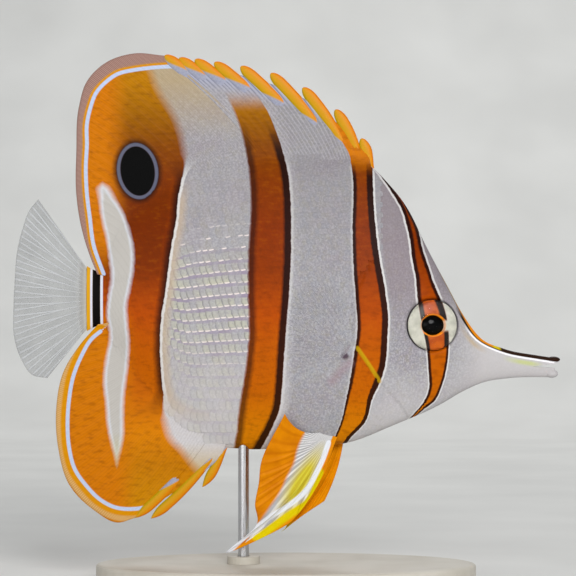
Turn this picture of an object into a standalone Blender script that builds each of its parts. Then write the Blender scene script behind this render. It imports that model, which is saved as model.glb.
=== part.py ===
"""A copperband butterflyfish, life size, held level over the floor by a plain display stand.

Shapes are worked out in millimetres in the fish's own frame: x runs forward to the snout, y to its
left side, z up, and the middle of the flank is at x = z = 0. FISH_HEIGHT is how far that middle
stands over the floor. The outlines are (x, z) places read along the real fish's side view, and
every fin is a list of key rays, each a root and a tip, with the rays between them worked out.
A ray's bow is how far its middle stands to the left of the way that it runs, as a share of its
length.
"""

import math

import bmesh
import bpy
import numpy as np
from mathutils import Matrix

MM = 0.001
FISH_HEIGHT = 77.0
GAP = 0.3
WIDE = 90.0

# Body: its ends, the facets along and round it, and how far facets crowd to its back and belly
BODY_TAIL = -54.5
BODY_SNOUT = 73.4
BODY_STATIONS = 56
BODY_SIDES = 28
EDGE_CROWDING = 0.22

BACK = [
    (-54.5, 9.5), (-51.5, 8.4), (-47.4, 14.5), (-42.7, 21.9), (-35.9, 29.3), (-20.8, 37.5),
    (-4.4, 40.2), (10.7, 40.5), (21.5, 38.3), (27.1, 33.1), (33.9, 24.2), (38.3, 15.1),
    (43.8, 4.7), (48.4, -3.7), (53.0, -9.9), (59.4, -13.0), (68.7, -14.9), (73.4, -15.6),
]
BELLY = [
    (-54.5, -8.7), (-51.5, -7.4), (-45.4, -12.9), (-40.5, -19.7), (-29.6, -32.8), (-20.5, -39.6),
    (-12.6, -40.9), (3.8, -40.3), (16.7, -39.3), (30.1, -34.2), (42.4, -28.7), (48.4, -25.2),
    (53.9, -22.8), (61.0, -21.6), (73.4, -21.3),
]
HALF_WIDTH = [
    (-54.5, 1.5), (-49.0, 2.3), (-42.0, 3.4), (-30.0, 5.6), (-15.0, 8.0), (0.0, 9.4), (12.0, 9.8),
    (25.0, 9.2), (35.0, 7.8), (40.0, 6.9), (47.0, 4.6), (53.0, 3.0), (60.0, 2.2), (73.4, 1.6),
]
WIDEST_LEVEL = [(-54.5, 0.4), (-30.0, 0.0), (0.0, -3.0), (20.0, -8.0), (40.0, -9.0), (50.0, -14.5),
                (60.0, -17.3), (73.4, -18.4)]

# How the sides close in above and below the widest level: 1 is an ellipse, 2 a sharp-edged lens
FLATNESS_ABOVE = [(-54.5, 1.0), (-47.0, 1.3), (-30.0, 1.7), (0.0, 1.7), (20.0, 1.5), (31.0, 1.15),
                  (45.0, 0.95), (73.4, 1.0)]
FLATNESS_BELOW = [(-54.5, 1.0), (-47.0, 1.3), (-30.0, 1.7), (-14.0, 1.4), (4.0, 1.1), (25.0, 1.0),
                  (45.0, 0.95), (73.4, 1.0)]

# Cuts that part the body, each a line from top to bottom, and the gill covers' front edge
GILL_LINE = [(25.4, 45.0), (25.0, 37.0), (24.6, 20.0), (23.5, 10.4), (20.3, 5.0), (18.6, -3.0),
             (18.3, -9.6), (20.2, -14.8), (25.2, -21.9), (31.2, -29.0), (36.5, -37.0)]
GILL_COVER_REAR = slice(3, 10)
CHEEK_LINE = [(33.2, -26.6), (31.8, -19.5), (30.4, -10.0), (29.4, 0.0), (27.4, 7.0)]
GILL_COVER_INNER = 4.0
STEM_LINE = [(-45.8, 20.0), (-46.4, 10.0), (-46.9, 0.0), (-46.4, -10.0), (-45.8, -20.0)]

# Mouth: the jaws part from the head at JAW_BACK and from each other at the corner
JAW_BACK = 58.3
JAW_SEAM_LEVEL = -18.7
MOUTH_CORNER = (67.6, -18.1)
MOUTH_REACH = 80.0
MOUTH_UPPER_EDGE = -16.7
MOUTH_LOWER_EDGE = -19.1
UPPER_LIP = ((73.2, 0, -16.35), (2.0, 1.75, 0.95))
LOWER_LIP = ((72.8, 0, -20.1), (1.8, 1.7, 1.25))

EYE_AT = (39.7, 6.0, -6.8)
EYE_RADIUS = 7.0
EYE_HALF_DEPTH = 2.3
EYE_TURN = math.radians(12)
NOSTRILS = [((50.0, -9.3), 0.5), ((48.2, -7.5), 0.38)]

# Fins: half thickness of the bare web, how far a ray's ridge adds to it on each face, and how
# sharply the swelling at a fin's root falls off towards its edge
WEB_HALF = 0.25
RIDGE_HALF = 0.2
ROOT_FALL = 1.6

DORSAL_RAYS = 29
DORSAL_KEYS = [
    ((-4.6, 38.7), (-33.2, 66.9)), ((-12.4, 38.6), (-41.6, 67.5)), ((-19.5, 37.6), (-49.3, 65.0)),
    ((-25.5, 35.3), (-54.6, 59.7)), ((-31.0, 32.4), (-56.7, 52.8)), ((-37.8, 26.7), (-57.4, 40.5)),
    ((-43.2, 20.6), (-57.4, 29.0)), ((-46.4, 15.4), (-56.1, 20.3)), ((-48.8, 10.8), (-53.5, 11.6)),
    ((-49.2, 6.6), (-51.6, 7.0)),
]
DORSAL_SPINES = [
    ((23.3, 35.5), (20.6, 44.2)), ((20.9, 37.0), (13.5, 52.1)), ((18.0, 38.0), (4.6, 58.1)),
    ((14.6, 38.6), (-4.2, 62.0)), ((10.6, 39.0), (-12.4, 63.9)), ((6.4, 39.2), (-19.6, 65.0)),
    ((2.4, 39.2), (-24.9, 65.8)), ((-1.4, 39.0), (-29.2, 66.2)), ((-4.6, 38.7), (-33.2, 66.9)),
]
DORSAL_WEB_EDGE = [(22.6, 39.4), (19.6, 42.4), (13.8, 48.6), (6.2, 54.4), (-2.6, 58.6),
                   (-10.4, 61.0), (-17.8, 63.0), (-23.6, 64.2), (-29.8, 64.8)]
DORSAL_BOW = -0.035

ANAL_RAYS = 20
ANAL_KEYS = [
    ((-20.6, -39.2), (-40.4, -60.6)), ((-25.6, -36.6), (-46.1, -60.9)),
    ((-30.4, -32.6), (-52.6, -57.5)), ((-34.4, -28.4), (-59.3, -50.6)),
    ((-38.4, -23.6), (-62.4, -40.2)), ((-41.8, -18.8), (-62.9, -30.0)),
    ((-44.8, -14.6), (-60.9, -19.6)), ((-47.6, -11.2), (-56.2, -12.0)),
    ((-48.8, -6.2), (-51.4, -6.6)),
]
ANAL_SPINES = [((-16.6, -39.8), (-22.9, -51.2)), ((-17.6, -39.6), (-37.0, -59.8)),
               ((-21.4, -38.4), (-41.2, -59.6))]
ANAL_WEB_EDGE = [(-18.4, -43.6), (-24.6, -48.6), (-36.4, -56.2)]
ANAL_BOW = 0.035

# Spine blades: width, the length that the tip tapers over, and how pointed it is, 0.5 being round
DORSAL_BLADE = (3.3, 4.0, 0.5)
ANAL_BLADE = (2.7, 5.0, 0.9)
SPINE_THICK = 1.5

TAIL_RAYS = 17
TAIL_PLEATS = 4
TAIL_KEYS = [
    ((-54.8, 9.0), (-67.9, 27.6)), ((-54.8, 7.6), (-70.4, 24.6)), ((-54.8, 6.0), (-72.2, 19.6)),
    ((-54.8, 4.0), (-73.9, 12.6)), ((-54.8, 1.8), (-74.4, 5.0)), ((-54.8, -0.4), (-74.8, -2.6)),
    ((-54.8, -2.8), (-74.6, -9.8)), ((-54.8, -5.0), (-72.8, -16.0)), ((-54.8, -6.8), (-69.4, -20.6)),
    ((-54.8, -8.2), (-65.4, -21.4)),
]
TAIL_SWAY = math.tan(math.radians(4))
TAIL_PLEAT = 0.35

PECTORAL_RAYS = 14
PECTORAL_ROOT = [(17.4, -12.0), (14.6, -15.8)]
PECTORAL_FAN = [(102, 15.5), (116, 19.0), (130, 20.0), (144, 18.8), (158, 16.0), (172, 13.0),
                (188, 10.4)]
PECTORAL_SPLAY = math.radians(17)

RIGHT_PELVIC_KEYS = [
    ((13.8, 2.9, -37.6), (4.6, 5.4, -54.2)), ((13.5, 2.9, -37.5), (0.6, 5.0, -60.8)),
    ((13.2, 3.0, -37.4), (-16.1, 4.6, -68.7)),
    ((12.6, 3.1, -37.2), (-8.2, 5.8, -61.3)), ((12.0, 3.2, -37.0), (-8.4, 6.4, -55.3)),
    ((11.4, 3.3, -36.7), (-7.4, 6.9, -49.7)), ((10.9, 3.4, -36.3), (-6.2, 7.6, -42.2)),
    ((10.4, 3.4, -35.8), (-0.3, 8.4, -30.7)),
]
LEFT_PELVIC_KEYS = [
    ((15.9, 2.9, -37.6), (10.6, 4.8, -55.4)), ((15.6, 2.9, -37.5), (4.6, 4.6, -59.4)),
    ((15.2, 3.0, -37.4), (-1.2, 4.4, -63.8)),
    ((14.4, 3.1, -37.2), (0.2, 5.4, -62.0)), ((13.6, 3.2, -37.0), (-0.4, 5.9, -56.6)),
    ((12.8, 3.3, -36.7), (-0.2, 6.5, -51.2)), ((12.0, 3.4, -36.3), (0.4, 7.1, -44.6)),
    ((11.2, 3.4, -35.8), (4.4, 7.7, -34.2)),
]
PELVIC_BOWS = [0.045, 0.065, 0.085, 0.06, 0.04, 0.05, 0.1, 0.2]

BASE_LENGTH = 104.0
BASE_WIDTH = 58.0
BASE_THICK = 5.0
BASE_EDGE = 1.0
BOSS_RADIUS = 4.5
BOSS_HEIGHT = 2.0
ROD_RADIUS = 1.5
ROD_X = -11.6
ROD_SEAT = 2.0
ROD_IN_BELLY = 6.0

FINISHES = {
    "flank_silver": ((0.66, 0.64, 0.64), 0.38, 0.0),
    "band_orange": ((0.80, 0.32, 0.02), 0.42, 0.0),
    "fin_gold": ((0.82, 0.42, 0.03), 0.45, 0.0),
    "tail_clear": ((0.55, 0.57, 0.56), 0.40, 0.0),
    "eye_gloss": ((0.30, 0.27, 0.20), 0.10, 0.0),
    "stand_base_finish": ((0.74, 0.71, 0.66), 0.55, 0.0),
    "stand_rod_finish": ((0.62, 0.62, 0.63), 0.28, 1.0),
}


def clear_scene():
    for obj in list(bpy.data.objects):
        bpy.data.objects.remove(obj)


def collection(name):
    made = bpy.data.collections.new(name)
    bpy.context.scene.collection.children.link(made)
    return made


def smooth(knots, values, at):
    """Values at the given places of a smooth curve through values at rising knots."""
    knots = np.asarray(knots, float)
    values = np.asarray(values, float)
    slopes = np.gradient(values, knots, axis=0)
    at = np.clip(np.atleast_1d(np.asarray(at, float)), knots[0], knots[-1])
    i = np.clip(np.searchsorted(knots, at, side="right") - 1, 0, len(knots) - 2)
    span = knots[i + 1] - knots[i]
    q = (at - knots[i]) / span
    if values.ndim > 1:
        span, q = span[:, None], q[:, None]
    return (
        values[i] * (1 + 2 * q) * (1 - q) ** 2
        + values[i + 1] * q * q * (3 - 2 * q)
        + span * (slopes[i] * q * (1 - q) ** 2 - slopes[i + 1] * q * q * (1 - q))
    )


def level(outline, x):
    """The height at x of an outline given as rising (x, z) places."""
    places = np.array(outline)
    return float(smooth(places[:, 0], places[:, 1], x)[0])


def body_section(x, grow=0.0):
    """The body's section at x, swollen by grow: its widest level and half width, then how far it
    reaches above and below that level, each with its flatness."""
    widest = level(WIDEST_LEVEL, x)
    above = (level(BACK, x) + grow - widest, level(FLATNESS_ABOVE, x))
    below = (widest - level(BELLY, x) + grow, level(FLATNESS_BELOW, x))
    return widest, level(HALF_WIDTH, x) + grow, above, below


def flank(x, z):
    """How far the body's side stands from the middle plane at a place of the side view."""
    widest, half_width, above, below = body_section(x)
    reach, flatness = above if z > widest else below
    share = min(abs(z - widest) / reach, 1.0)
    return half_width * math.sqrt(1 - share * share) ** flatness


def mesh_object(name, bm, holder):
    """A mesh object in metres, standing over the floor, from a bmesh in the fish's millimetres."""
    bmesh.ops.recalc_face_normals(bm, faces=bm.faces[:])
    bm.transform(Matrix.Scale(MM, 4) @ Matrix.Translation((0, 0, FISH_HEIGHT)))
    mesh = bpy.data.meshes.new(name)
    bm.to_mesh(mesh)
    bm.free()
    obj = bpy.data.objects.new(name, mesh)
    holder.objects.link(obj)
    return obj


def grid(columns, rows):
    """A flat grid whose vertices run from 0 to 1 in x and in y."""
    bm = bmesh.new()
    bmesh.ops.create_grid(bm, x_segments=columns, y_segments=rows, size=0.5)
    bm.transform(Matrix.Translation((0.5, 0.5, 0)))
    return bm


def body_blank(name, holder, grow=0.0):
    """The whole body without fins or eyes: a grid rolled into a tube of changing section."""
    bm = grid(BODY_SIDES, BODY_STATIONS)
    for vert in bm.verts:
        turn = 2 * math.pi * vert.co.x
        turn -= EDGE_CROWDING * math.sin(2 * turn)
        x = BODY_TAIL - grow + (BODY_SNOUT - BODY_TAIL + 2 * grow) * vert.co.y
        widest, half_width, above, below = body_section(x, grow)
        rise, out = math.sin(turn), math.cos(turn)
        reach, flatness = above if rise > 0 else below
        vert.co = (x, math.copysign(half_width * abs(out) ** flatness, out), widest + rise * reach)
    bmesh.ops.remove_doubles(bm, verts=bm.verts[:], dist=0.001)
    ends = [edge for edge in bm.edges if edge.is_boundary]
    bmesh.ops.holes_fill(bm, edges=ends, sides=0)
    return mesh_object(name, bm, holder)


def prism(name, outline, holder, low=-WIDE, high=WIDE):
    """A closed block with a side-view outline, from y = low to y = high, for cutting with."""
    bm = bmesh.new()
    face = bm.faces.new([bm.verts.new((x, low, z)) for x, z in outline])
    pushed = bmesh.ops.extrude_face_region(bm, geom=[face], use_keep_orig=True)
    moved = [item for item in pushed["geom"] if isinstance(item, bmesh.types.BMVert)]
    bmesh.ops.translate(bm, verts=moved, vec=(0, high - low, 0))
    obj = mesh_object(name, bm, holder)
    obj.hide_render = True
    obj.display_type = "WIRE"
    return obj


def ellipsoid(name, centre, radii, holder, turn=0.0, segments=20, rings=10):
    """A ball with three radii, its flat axis along y, then turned about the vertical."""
    bm = bmesh.new()
    bmesh.ops.create_uvsphere(bm, u_segments=segments, v_segments=rings, radius=1.0)
    bm.transform(Matrix.Rotation(math.pi / 2, 4, "X"))
    bm.transform(Matrix.Diagonal((*radii, 1)))
    bm.transform(Matrix.Translation(centre) @ Matrix.Rotation(turn, 4, "Z"))
    return mesh_object(name, bm, holder)


def largest_only(mesh):
    """Drops every loose scrap, so that the mesh is one closed surface."""
    bm = bmesh.new()
    bm.from_mesh(mesh)
    left, islands = set(bm.verts), []
    while left:
        island, edge_of = set(), [left.pop()]
        while edge_of:
            vert = edge_of.pop()
            island.add(vert)
            near = {edge.other_vert(vert) for edge in vert.link_edges} & left
            left -= near
            edge_of.extend(near)
        islands.append(island)
    keep = max(islands, key=len)
    bmesh.ops.delete(bm, geom=[v for v in bm.verts if v not in keep], context="VERTS")
    bm.to_mesh(mesh)
    bm.free()


def apply_modifiers(obj):
    graph = bpy.context.evaluated_depsgraph_get()
    mesh = bpy.data.meshes.new_from_object(obj.evaluated_get(graph))
    obj.modifiers.clear()
    obj.data = mesh
    largest_only(mesh)


def carve(obj, *steps):
    """Cuts obj by each (operation, cutter) in turn and keeps its largest closed piece."""
    for operation, cutter in steps:
        modifier = obj.modifiers.new(cutter.name, "BOOLEAN")
        modifier.operation = operation
        modifier.object = cutter
        modifier.solver = "EXACT"
    apply_modifiers(obj)
    return obj


def joined(obj, pieces):
    """One closed body from obj and the closed pieces that sink into it.

    The exact solver leaves open edges where a spine's flat side runs along the web, so this join
    uses the manifold one.
    """
    held = collection(obj.name + "_pieces")
    for piece in pieces:
        for owner in list(piece.users_collection):
            owner.objects.unlink(piece)
        held.objects.link(piece)
    modifier = obj.modifiers.new("fuse", "BOOLEAN")
    modifier.operation = "UNION"
    modifier.operand_type = "COLLECTION"
    modifier.collection = held
    modifier.solver = "MANIFOLD"
    apply_modifiers(obj)
    for piece in pieces:
        bpy.data.objects.remove(piece)
    bpy.data.collections.remove(held)
    return obj


def shifted(line, by, closed=False):
    """The line moved sideways by a distance, to the right of the way that it runs."""
    places = np.array(line, float)
    if closed:
        along = np.roll(places, -1, axis=0) - np.roll(places, 1, axis=0)
    else:
        along = np.gradient(places, axis=0)
    along /= np.linalg.norm(along, axis=1)[:, None]
    return places + by * np.column_stack([along[:, 1], -along[:, 0]])


def region(line, toward):
    """The side-view region from a line that runs up or down, run on straight, out to x = toward."""
    (first_x, first_z), (last_x, last_z) = line[0], line[-1]
    start, end = (WIDE, -WIDE) if first_z > last_z else (-WIDE, WIDE)
    return [(first_x, start), *(tuple(p) for p in line), (last_x, end), (toward, end), (toward, start)]


def behind(line, gap=0.0):
    """The side-view region on the tail's side of a line that runs from top to bottom."""
    return region(shifted(line, gap), -WIDE)


def ahead(line, gap=0.0):
    """The side-view region on the snout's side of a line that runs from top to bottom."""
    return region(shifted(line, -gap), WIDE)


def bowed(root, tip, bow, share):
    """The place at a share of the way out along a bowed ray."""
    run = tip - root
    side = np.array([-run[2], 0.0, run[0]])
    return root + run * share + side * bow * 4 * share * (1 - share)


def side_view(point, y=0.0):
    return (point[0], y, point[1])


def key_rays(keys):
    """Key rays as two arrays of 3-D places, with how far along the fin's edge each one is."""
    roots = np.array([root if len(root) == 3 else side_view(root) for root, _ in keys], float)
    tips = np.array([tip if len(tip) == 3 else side_view(tip) for _, tip in keys], float)
    steps = np.linalg.norm(np.diff(tips, axis=0), axis=1)
    return roots, tips, np.concatenate([[0], np.cumsum(steps)]) / steps.sum()


def fin_sheet(name, holder, keys, gaps, columns_a_gap, rows, bow=0.0, root_half=1.1,
              ridge=RIDGE_HALF, sink=1.6, even=False, sway=None):
    """A fin's web with its rays raised in both faces, as one closed body.

    The sheet runs from a little inside its root (sink) out to the tips. Its columns follow the rays,
    so a ridge is a column that stands prouder than its neighbours. The rays are spread evenly along
    the fin's edge or, if even, so that each key is one of them. Both faces are split into triangles
    alike.
    """
    roots, tips, knots = key_rays(keys)
    if even:
        knots = np.linspace(0, 1, len(keys))
    bows = np.broadcast_to(np.asarray(bow, float), (len(keys),))
    columns = gaps * columns_a_gap
    bm = grid(columns, rows)
    bmesh.ops.triangulate(bm, faces=bm.faces[:])
    pushed = bmesh.ops.extrude_face_region(bm, geom=bm.faces[:], use_keep_orig=True)
    left_face = {item for item in pushed["geom"] if isinstance(item, bmesh.types.BMVert)}
    for vert in bm.verts:
        across, out = vert.co.x, vert.co.y
        root = smooth(knots, roots, across)[0]
        tip = smooth(knots, tips, across)[0]
        length = np.linalg.norm(tip - root)
        start = min(sink / length, 0.4)
        share = out * (1 + start) - start
        place = bowed(root, tip, float(smooth(knots, bows, across)[0]), share)
        if sway:
            place = place + sway(place, across, max(share, 0))
        crest = 0.5 + 0.5 * math.cos(2 * math.pi * gaps * across)
        half = WEB_HALF + root_half * (1 - out) ** ROOT_FALL + ridge * crest * min(1, 3 * out)
        vert.co = place + np.array([0, half if vert in left_face else -half, 0])
    return mesh_object(name, bm, holder)


def spine_side(root, tip, bow, blade, out):
    """The middle of a spine at a share of its length, and the step from there to its left edge."""
    width, taper, sharpness = blade
    place = bowed(root, tip, bow, out)
    run = bowed(root, tip, bow, out + 0.01) - bowed(root, tip, bow, out - 0.01)
    side = np.array([-run[2], 0, run[0]]) / np.linalg.norm(run)
    near_tip = min(max(1 - (1 - out) * np.linalg.norm(tip - root) / taper, 0), 0.95)
    widening = 0.55 + 0.45 * min(max(out / 0.7, 0), 1)
    return place, side * width / 2 * widening * (1 - near_tip ** 2) ** sharpness


def spine_blade(name, holder, root, tip, bow, blade, sides=6, rings=6):
    """A flat fin spine: a grid rolled into a tube along a bowed line, its rings crowding to the tip."""
    root, tip = np.array(side_view(root)), np.array(side_view(tip))
    bm = grid(sides, rings)
    for vert in bm.verts:
        turn, out = 2 * math.pi * vert.co.x, 1 - (1 - vert.co.y) ** 1.5
        place, side = spine_side(root, tip, bow, blade, out)
        thick = np.array([0, SPINE_THICK / 2 * (1 - 0.5 * out), 0])
        vert.co = place + side * math.cos(turn) + thick * math.sin(turn)
    bmesh.ops.remove_doubles(bm, verts=bm.verts[:], dist=0.001)
    bmesh.ops.holes_fill(bm, edges=[e for e in bm.edges if e.is_boundary], sides=0)
    return mesh_object(name, bm, holder)


def rear_edge(spine, bow, blade, hand):
    """The rear edge of a fin's last spine in the side view, with a gap, run on past both ends."""
    root, tip = (np.array(side_view(place)) for place in spine)
    places = []
    for out in np.linspace(-0.2, 1.2, 15):
        place, side = spine_side(root, tip, bow, blade, out)
        edge = place + hand * side * (1 + GAP / np.linalg.norm(side))
        places.append((edge[0], edge[2]))
    return places


def spiny_part(name, holder, spines, web_edge, bow, blade):
    """The front of a fin: a web notched between free spine tips, fused into one body."""
    keys = [(root, edge) for (root, _), edge in zip(spines, web_edge)]
    web = fin_sheet(name, holder, keys, len(keys) - 1, 2, 5, bow=bow, root_half=0.5, ridge=0.0)
    blades = [
        spine_blade(f"{name}_spine_{i}", holder, root, tip, bow, blade)
        for i, (root, tip) in enumerate(spines)
    ]
    return joined(web, blades)


def make_head(holder, tools):
    """Head, gill covers and jaws, all cut from one body so that they meet face to face."""
    sockets = [
        ellipsoid(f"socket_{side}", (EYE_AT[0], side * EYE_AT[1], EYE_AT[2]),
                  (EYE_RADIUS + GAP, EYE_HALF_DEPTH + GAP, EYE_RADIUS + GAP), tools,
                  -side * EYE_TURN)
        for side in (-1, 1)
    ]
    pits = [
        ellipsoid(f"nostril_{i}_{side}", (x, side * flank(x, z), z), (size, size, size), tools,
                  segments=8, rings=5)
        for i, ((x, z), size) in enumerate(NOSTRILS)
        for side in (-1, 1)
    ]
    for helper in sockets + pits:
        helper.hide_render = True
        helper.display_type = "WIRE"
    front = prism("front_of_gills", ahead(GILL_LINE), tools)
    before_jaws = prism("behind_jaws", region([(JAW_BACK, WIDE), (JAW_BACK, -WIDE)], -WIDE), tools)
    cover_outline = GILL_LINE[GILL_COVER_REAR] + CHEEK_LINE
    seat_outline = shifted(cover_outline, GAP, closed=True)
    head = body_blank("head", holder)
    cuts = [("INTERSECT", front), ("INTERSECT", before_jaws)]
    cuts += [("DIFFERENCE", helper) for helper in sockets + pits]
    covers = []
    for side, word in ((-1, "right"), (1, "left")):
        near, far = sorted((side * GILL_COVER_INNER, side * WIDE))
        plate = prism(f"gill_plate_{word}", cover_outline, tools, near, far)
        cover = body_blank(f"gill_cover_{word}", holder)
        covers.append(carve(cover, ("INTERSECT", plate)))
        near, far = sorted((side * (GILL_COVER_INNER - GAP), side * WIDE))
        cuts.append(("DIFFERENCE", prism(f"gill_seat_{word}", seat_outline, tools, near, far)))
    carve(head, *cuts)
    return [head, *covers, *make_jaws(holder, tools)]


def make_jaws(holder, tools):
    """The snout's two jaws, parted by the open mouth and tipped with lips."""
    corner_x, corner_z = MOUTH_CORNER
    start = JAW_BACK + GAP
    jaws = []
    for name, side, mouth_edge, lip in (
        ("upper_jaw", 1, MOUTH_UPPER_EDGE, UPPER_LIP),
        ("lower_jaw", -1, MOUTH_LOWER_EDGE, LOWER_LIP),
    ):
        clear = side * GAP / 2
        outline = [(start, side * WIDE), (start, JAW_SEAM_LEVEL + clear), (corner_x, corner_z + clear),
                   (MOUTH_REACH, mouth_edge), (MOUTH_REACH, side * WIDE)]
        jaw = carve(body_blank(name, holder), ("INTERSECT", prism(name + "_cut", outline, tools)))
        lip_piece = ellipsoid(name + "_lip", *lip, holder, segments=12, rings=8)
        jaws.append(joined(jaw, [lip_piece]))
    return jaws


def make_trunk(holder, tools):
    trunk = carve(
        body_blank("trunk", holder),
        ("INTERSECT", prism("behind_gills", behind(GILL_LINE, GAP), tools)),
        ("INTERSECT", prism("front_of_stem", ahead(STEM_LINE), tools)),
    )
    stem = carve(
        body_blank("tail_stem", holder),
        ("INTERSECT", prism("behind_stem_line", behind(STEM_LINE, GAP), tools)),
    )
    return [trunk, stem]


def make_eyes(holder):
    return [
        ellipsoid(f"eye_{word}", (EYE_AT[0], side * EYE_AT[1], EYE_AT[2]),
                  (EYE_RADIUS, EYE_HALF_DEPTH, EYE_RADIUS), holder, -side * EYE_TURN)
        for side, word in ((-1, "right"), (1, "left"))
    ]


def make_dorsal(holder, tools, swollen):
    spiny = spiny_part("dorsal_fin_spiny", holder, DORSAL_SPINES, DORSAL_WEB_EDGE, DORSAL_BOW,
                       DORSAL_BLADE)
    soft = fin_sheet("dorsal_fin_soft", holder, DORSAL_KEYS, DORSAL_RAYS - 1, 2, 6, bow=DORSAL_BOW)
    split = rear_edge(DORSAL_SPINES[-1], DORSAL_BOW, DORSAL_BLADE, 1)
    carve(spiny, ("DIFFERENCE", swollen))
    carve(soft, ("DIFFERENCE", swollen), ("DIFFERENCE", prism("dorsal_ahead", ahead(split), tools)))
    return [spiny, soft]


def make_anal(holder, tools, swollen):
    spiny = spiny_part("anal_fin_spiny", holder, ANAL_SPINES, ANAL_WEB_EDGE, ANAL_BOW, ANAL_BLADE)
    soft = fin_sheet("anal_fin_soft", holder, ANAL_KEYS, ANAL_RAYS - 1, 2, 6, bow=ANAL_BOW)
    split = rear_edge(ANAL_SPINES[-1], ANAL_BOW, ANAL_BLADE, -1)
    carve(spiny, ("DIFFERENCE", swollen))
    carve(soft, ("DIFFERENCE", swollen), ("DIFFERENCE", prism("anal_ahead", ahead(split), tools)))
    return [spiny, soft]


def make_tail(holder):
    def sway(place, across, share):
        pleat = math.sin(2 * math.pi * TAIL_PLEATS * across) * TAIL_PLEAT * share
        return np.array([0, (TAIL_KEYS[0][0][0] - place[0]) * TAIL_SWAY + pleat, 0])

    return [fin_sheet("tail_fin", holder, TAIL_KEYS, TAIL_RAYS - 1, 4, 5, root_half=1.0,
                      sink=0.0, sway=sway)]


def make_pectorals(holder, swollen):
    fins = []
    for side, word in ((-1, "right"), (1, "left")):
        keys = []
        for i, (angle, length) in enumerate(PECTORAL_FAN):
            down = i / (len(PECTORAL_FAN) - 1)
            (x0, z0), (x1, z1) = PECTORAL_ROOT
            x, z = x0 + (x1 - x0) * down, z0 + (z1 - z0) * down
            root = np.array([x, side * flank(x, z), z])
            turn = math.radians(angle)
            run = np.array([math.cos(turn), side * math.sin(PECTORAL_SPLAY), math.sin(turn)])
            keys.append((tuple(root), tuple(root + run * length)))
        fin = fin_sheet(f"pectoral_fin_{word}", holder, keys, PECTORAL_RAYS - 1, 2, 4, bow=-0.03,
                        root_half=0.25, ridge=0.1, sink=2.0)
        fins.append(carve(fin, ("DIFFERENCE", swollen)))
    return fins


def make_pelvics(holder, swollen):
    fins = []
    for side, word, keys in ((-1, "right", RIGHT_PELVIC_KEYS), (1, "left", LEFT_PELVIC_KEYS)):
        keys = [[(x, side * y, z) for x, y, z in key] for key in keys]
        fin = fin_sheet(f"pelvic_fin_{word}", holder, keys, len(keys) - 1, 4, 7, bow=PELVIC_BOWS,
                        root_half=0.7, sink=1.5, even=True)
        fins.append(carve(fin, ("DIFFERENCE", swollen)))
    return fins


def make_stand(holder, tools, swollen):
    """A flat oval base with a boss, and one rod seated in the boss and cut to fit the belly."""
    to_floor = -FISH_HEIGHT
    bm = bmesh.new()
    bmesh.ops.create_cone(bm, cap_ends=True, segments=64, radius1=0.5, radius2=0.5, depth=1)
    bm.transform(Matrix.Diagonal((BASE_LENGTH, BASE_WIDTH, BASE_THICK, 1)))
    bm.transform(Matrix.Translation((0, 0, to_floor + BASE_THICK / 2)))
    top = to_floor + BASE_THICK
    rim = [e for e in bm.edges if all(abs(v.co.z - top) < 0.01 for v in e.verts)]
    bmesh.ops.bevel(bm, geom=rim, offset=BASE_EDGE, offset_type="OFFSET", segments=3, profile=0.5,
                    affect="EDGES", material=-1)
    base = mesh_object("stand_base", bm, holder)

    def round_bar(name, radius, low, high, group, sides=20):
        bar = bmesh.new()
        bmesh.ops.create_cone(bar, cap_ends=True, segments=sides, radius1=radius, radius2=radius,
                              depth=high - low)
        bar.transform(Matrix.Translation((ROD_X, 0, (low + high) / 2)))
        return mesh_object(name, bar, group)

    boss = round_bar("boss", BOSS_RADIUS, top - 1, top + BOSS_HEIGHT, holder, 28)
    joined(base, [boss])
    floor_of_seat = top + BOSS_HEIGHT - ROD_SEAT
    seat = round_bar("rod_seat", ROD_RADIUS + GAP, floor_of_seat, top + 20, tools)
    seat.hide_render = True
    carve(base, ("DIFFERENCE", seat))
    rod = round_bar("stand_rod", ROD_RADIUS, floor_of_seat + GAP, level(BELLY, ROD_X) + ROD_IN_BELLY,
                    holder, 16)
    carve(rod, ("DIFFERENCE", swollen))
    return [base, rod]


def finish(obj, finish_name):
    colour, roughness, metallic = FINISHES[finish_name]
    material = bpy.data.materials.new(f"{obj.name}_{finish_name}")
    material.use_nodes = True
    shader = material.node_tree.nodes["Principled BSDF"]
    shader.inputs["Base Color"].default_value = (*colour, 1)
    shader.inputs["Roughness"].default_value = roughness
    shader.inputs["Metallic"].default_value = metallic
    obj.data.materials.clear()
    obj.data.materials.append(material)
    obj.data.shade_smooth()
    obj.data.set_sharp_from_angle(angle=math.radians(40))


def main():
    clear_scene()
    fish = collection("copperband_butterflyfish")
    tools = collection("cutters")
    swollen = body_blank("swollen_body", tools, GAP)
    swollen.hide_render = True
    swollen.display_type = "WIRE"
    groups = [
        (make_head(fish, tools), "flank_silver"),
        (make_trunk(fish, tools), "flank_silver"),
        (make_eyes(fish), "eye_gloss"),
        (make_dorsal(fish, tools, swollen), "fin_gold"),
        (make_anal(fish, tools, swollen), "fin_gold"),
        (make_tail(fish), "tail_clear"),
        (make_pectorals(fish, swollen), "tail_clear"),
        (make_pelvics(fish, swollen), "band_orange"),
    ]
    for objects, finish_name in groups:
        for obj in objects:
            finish(obj, finish_name)
    base, rod = make_stand(fish, tools, swollen)
    finish(base, "stand_base_finish")
    finish(rod, "stand_rod_finish")


main()
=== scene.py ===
# %% [markdown]
# # A life-size copperband butterflyfish
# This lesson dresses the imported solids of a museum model: a butterflyfish held level over an oval
# base. The solids give every outline. What is added here is what makes it a fish: one skin without
# seams, scales that overlap, fins fine enough to let light through, eyes with depth, and copper
# bands that run on from the flank into the fins. The first step loads the solids as a fixed frame.

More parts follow.
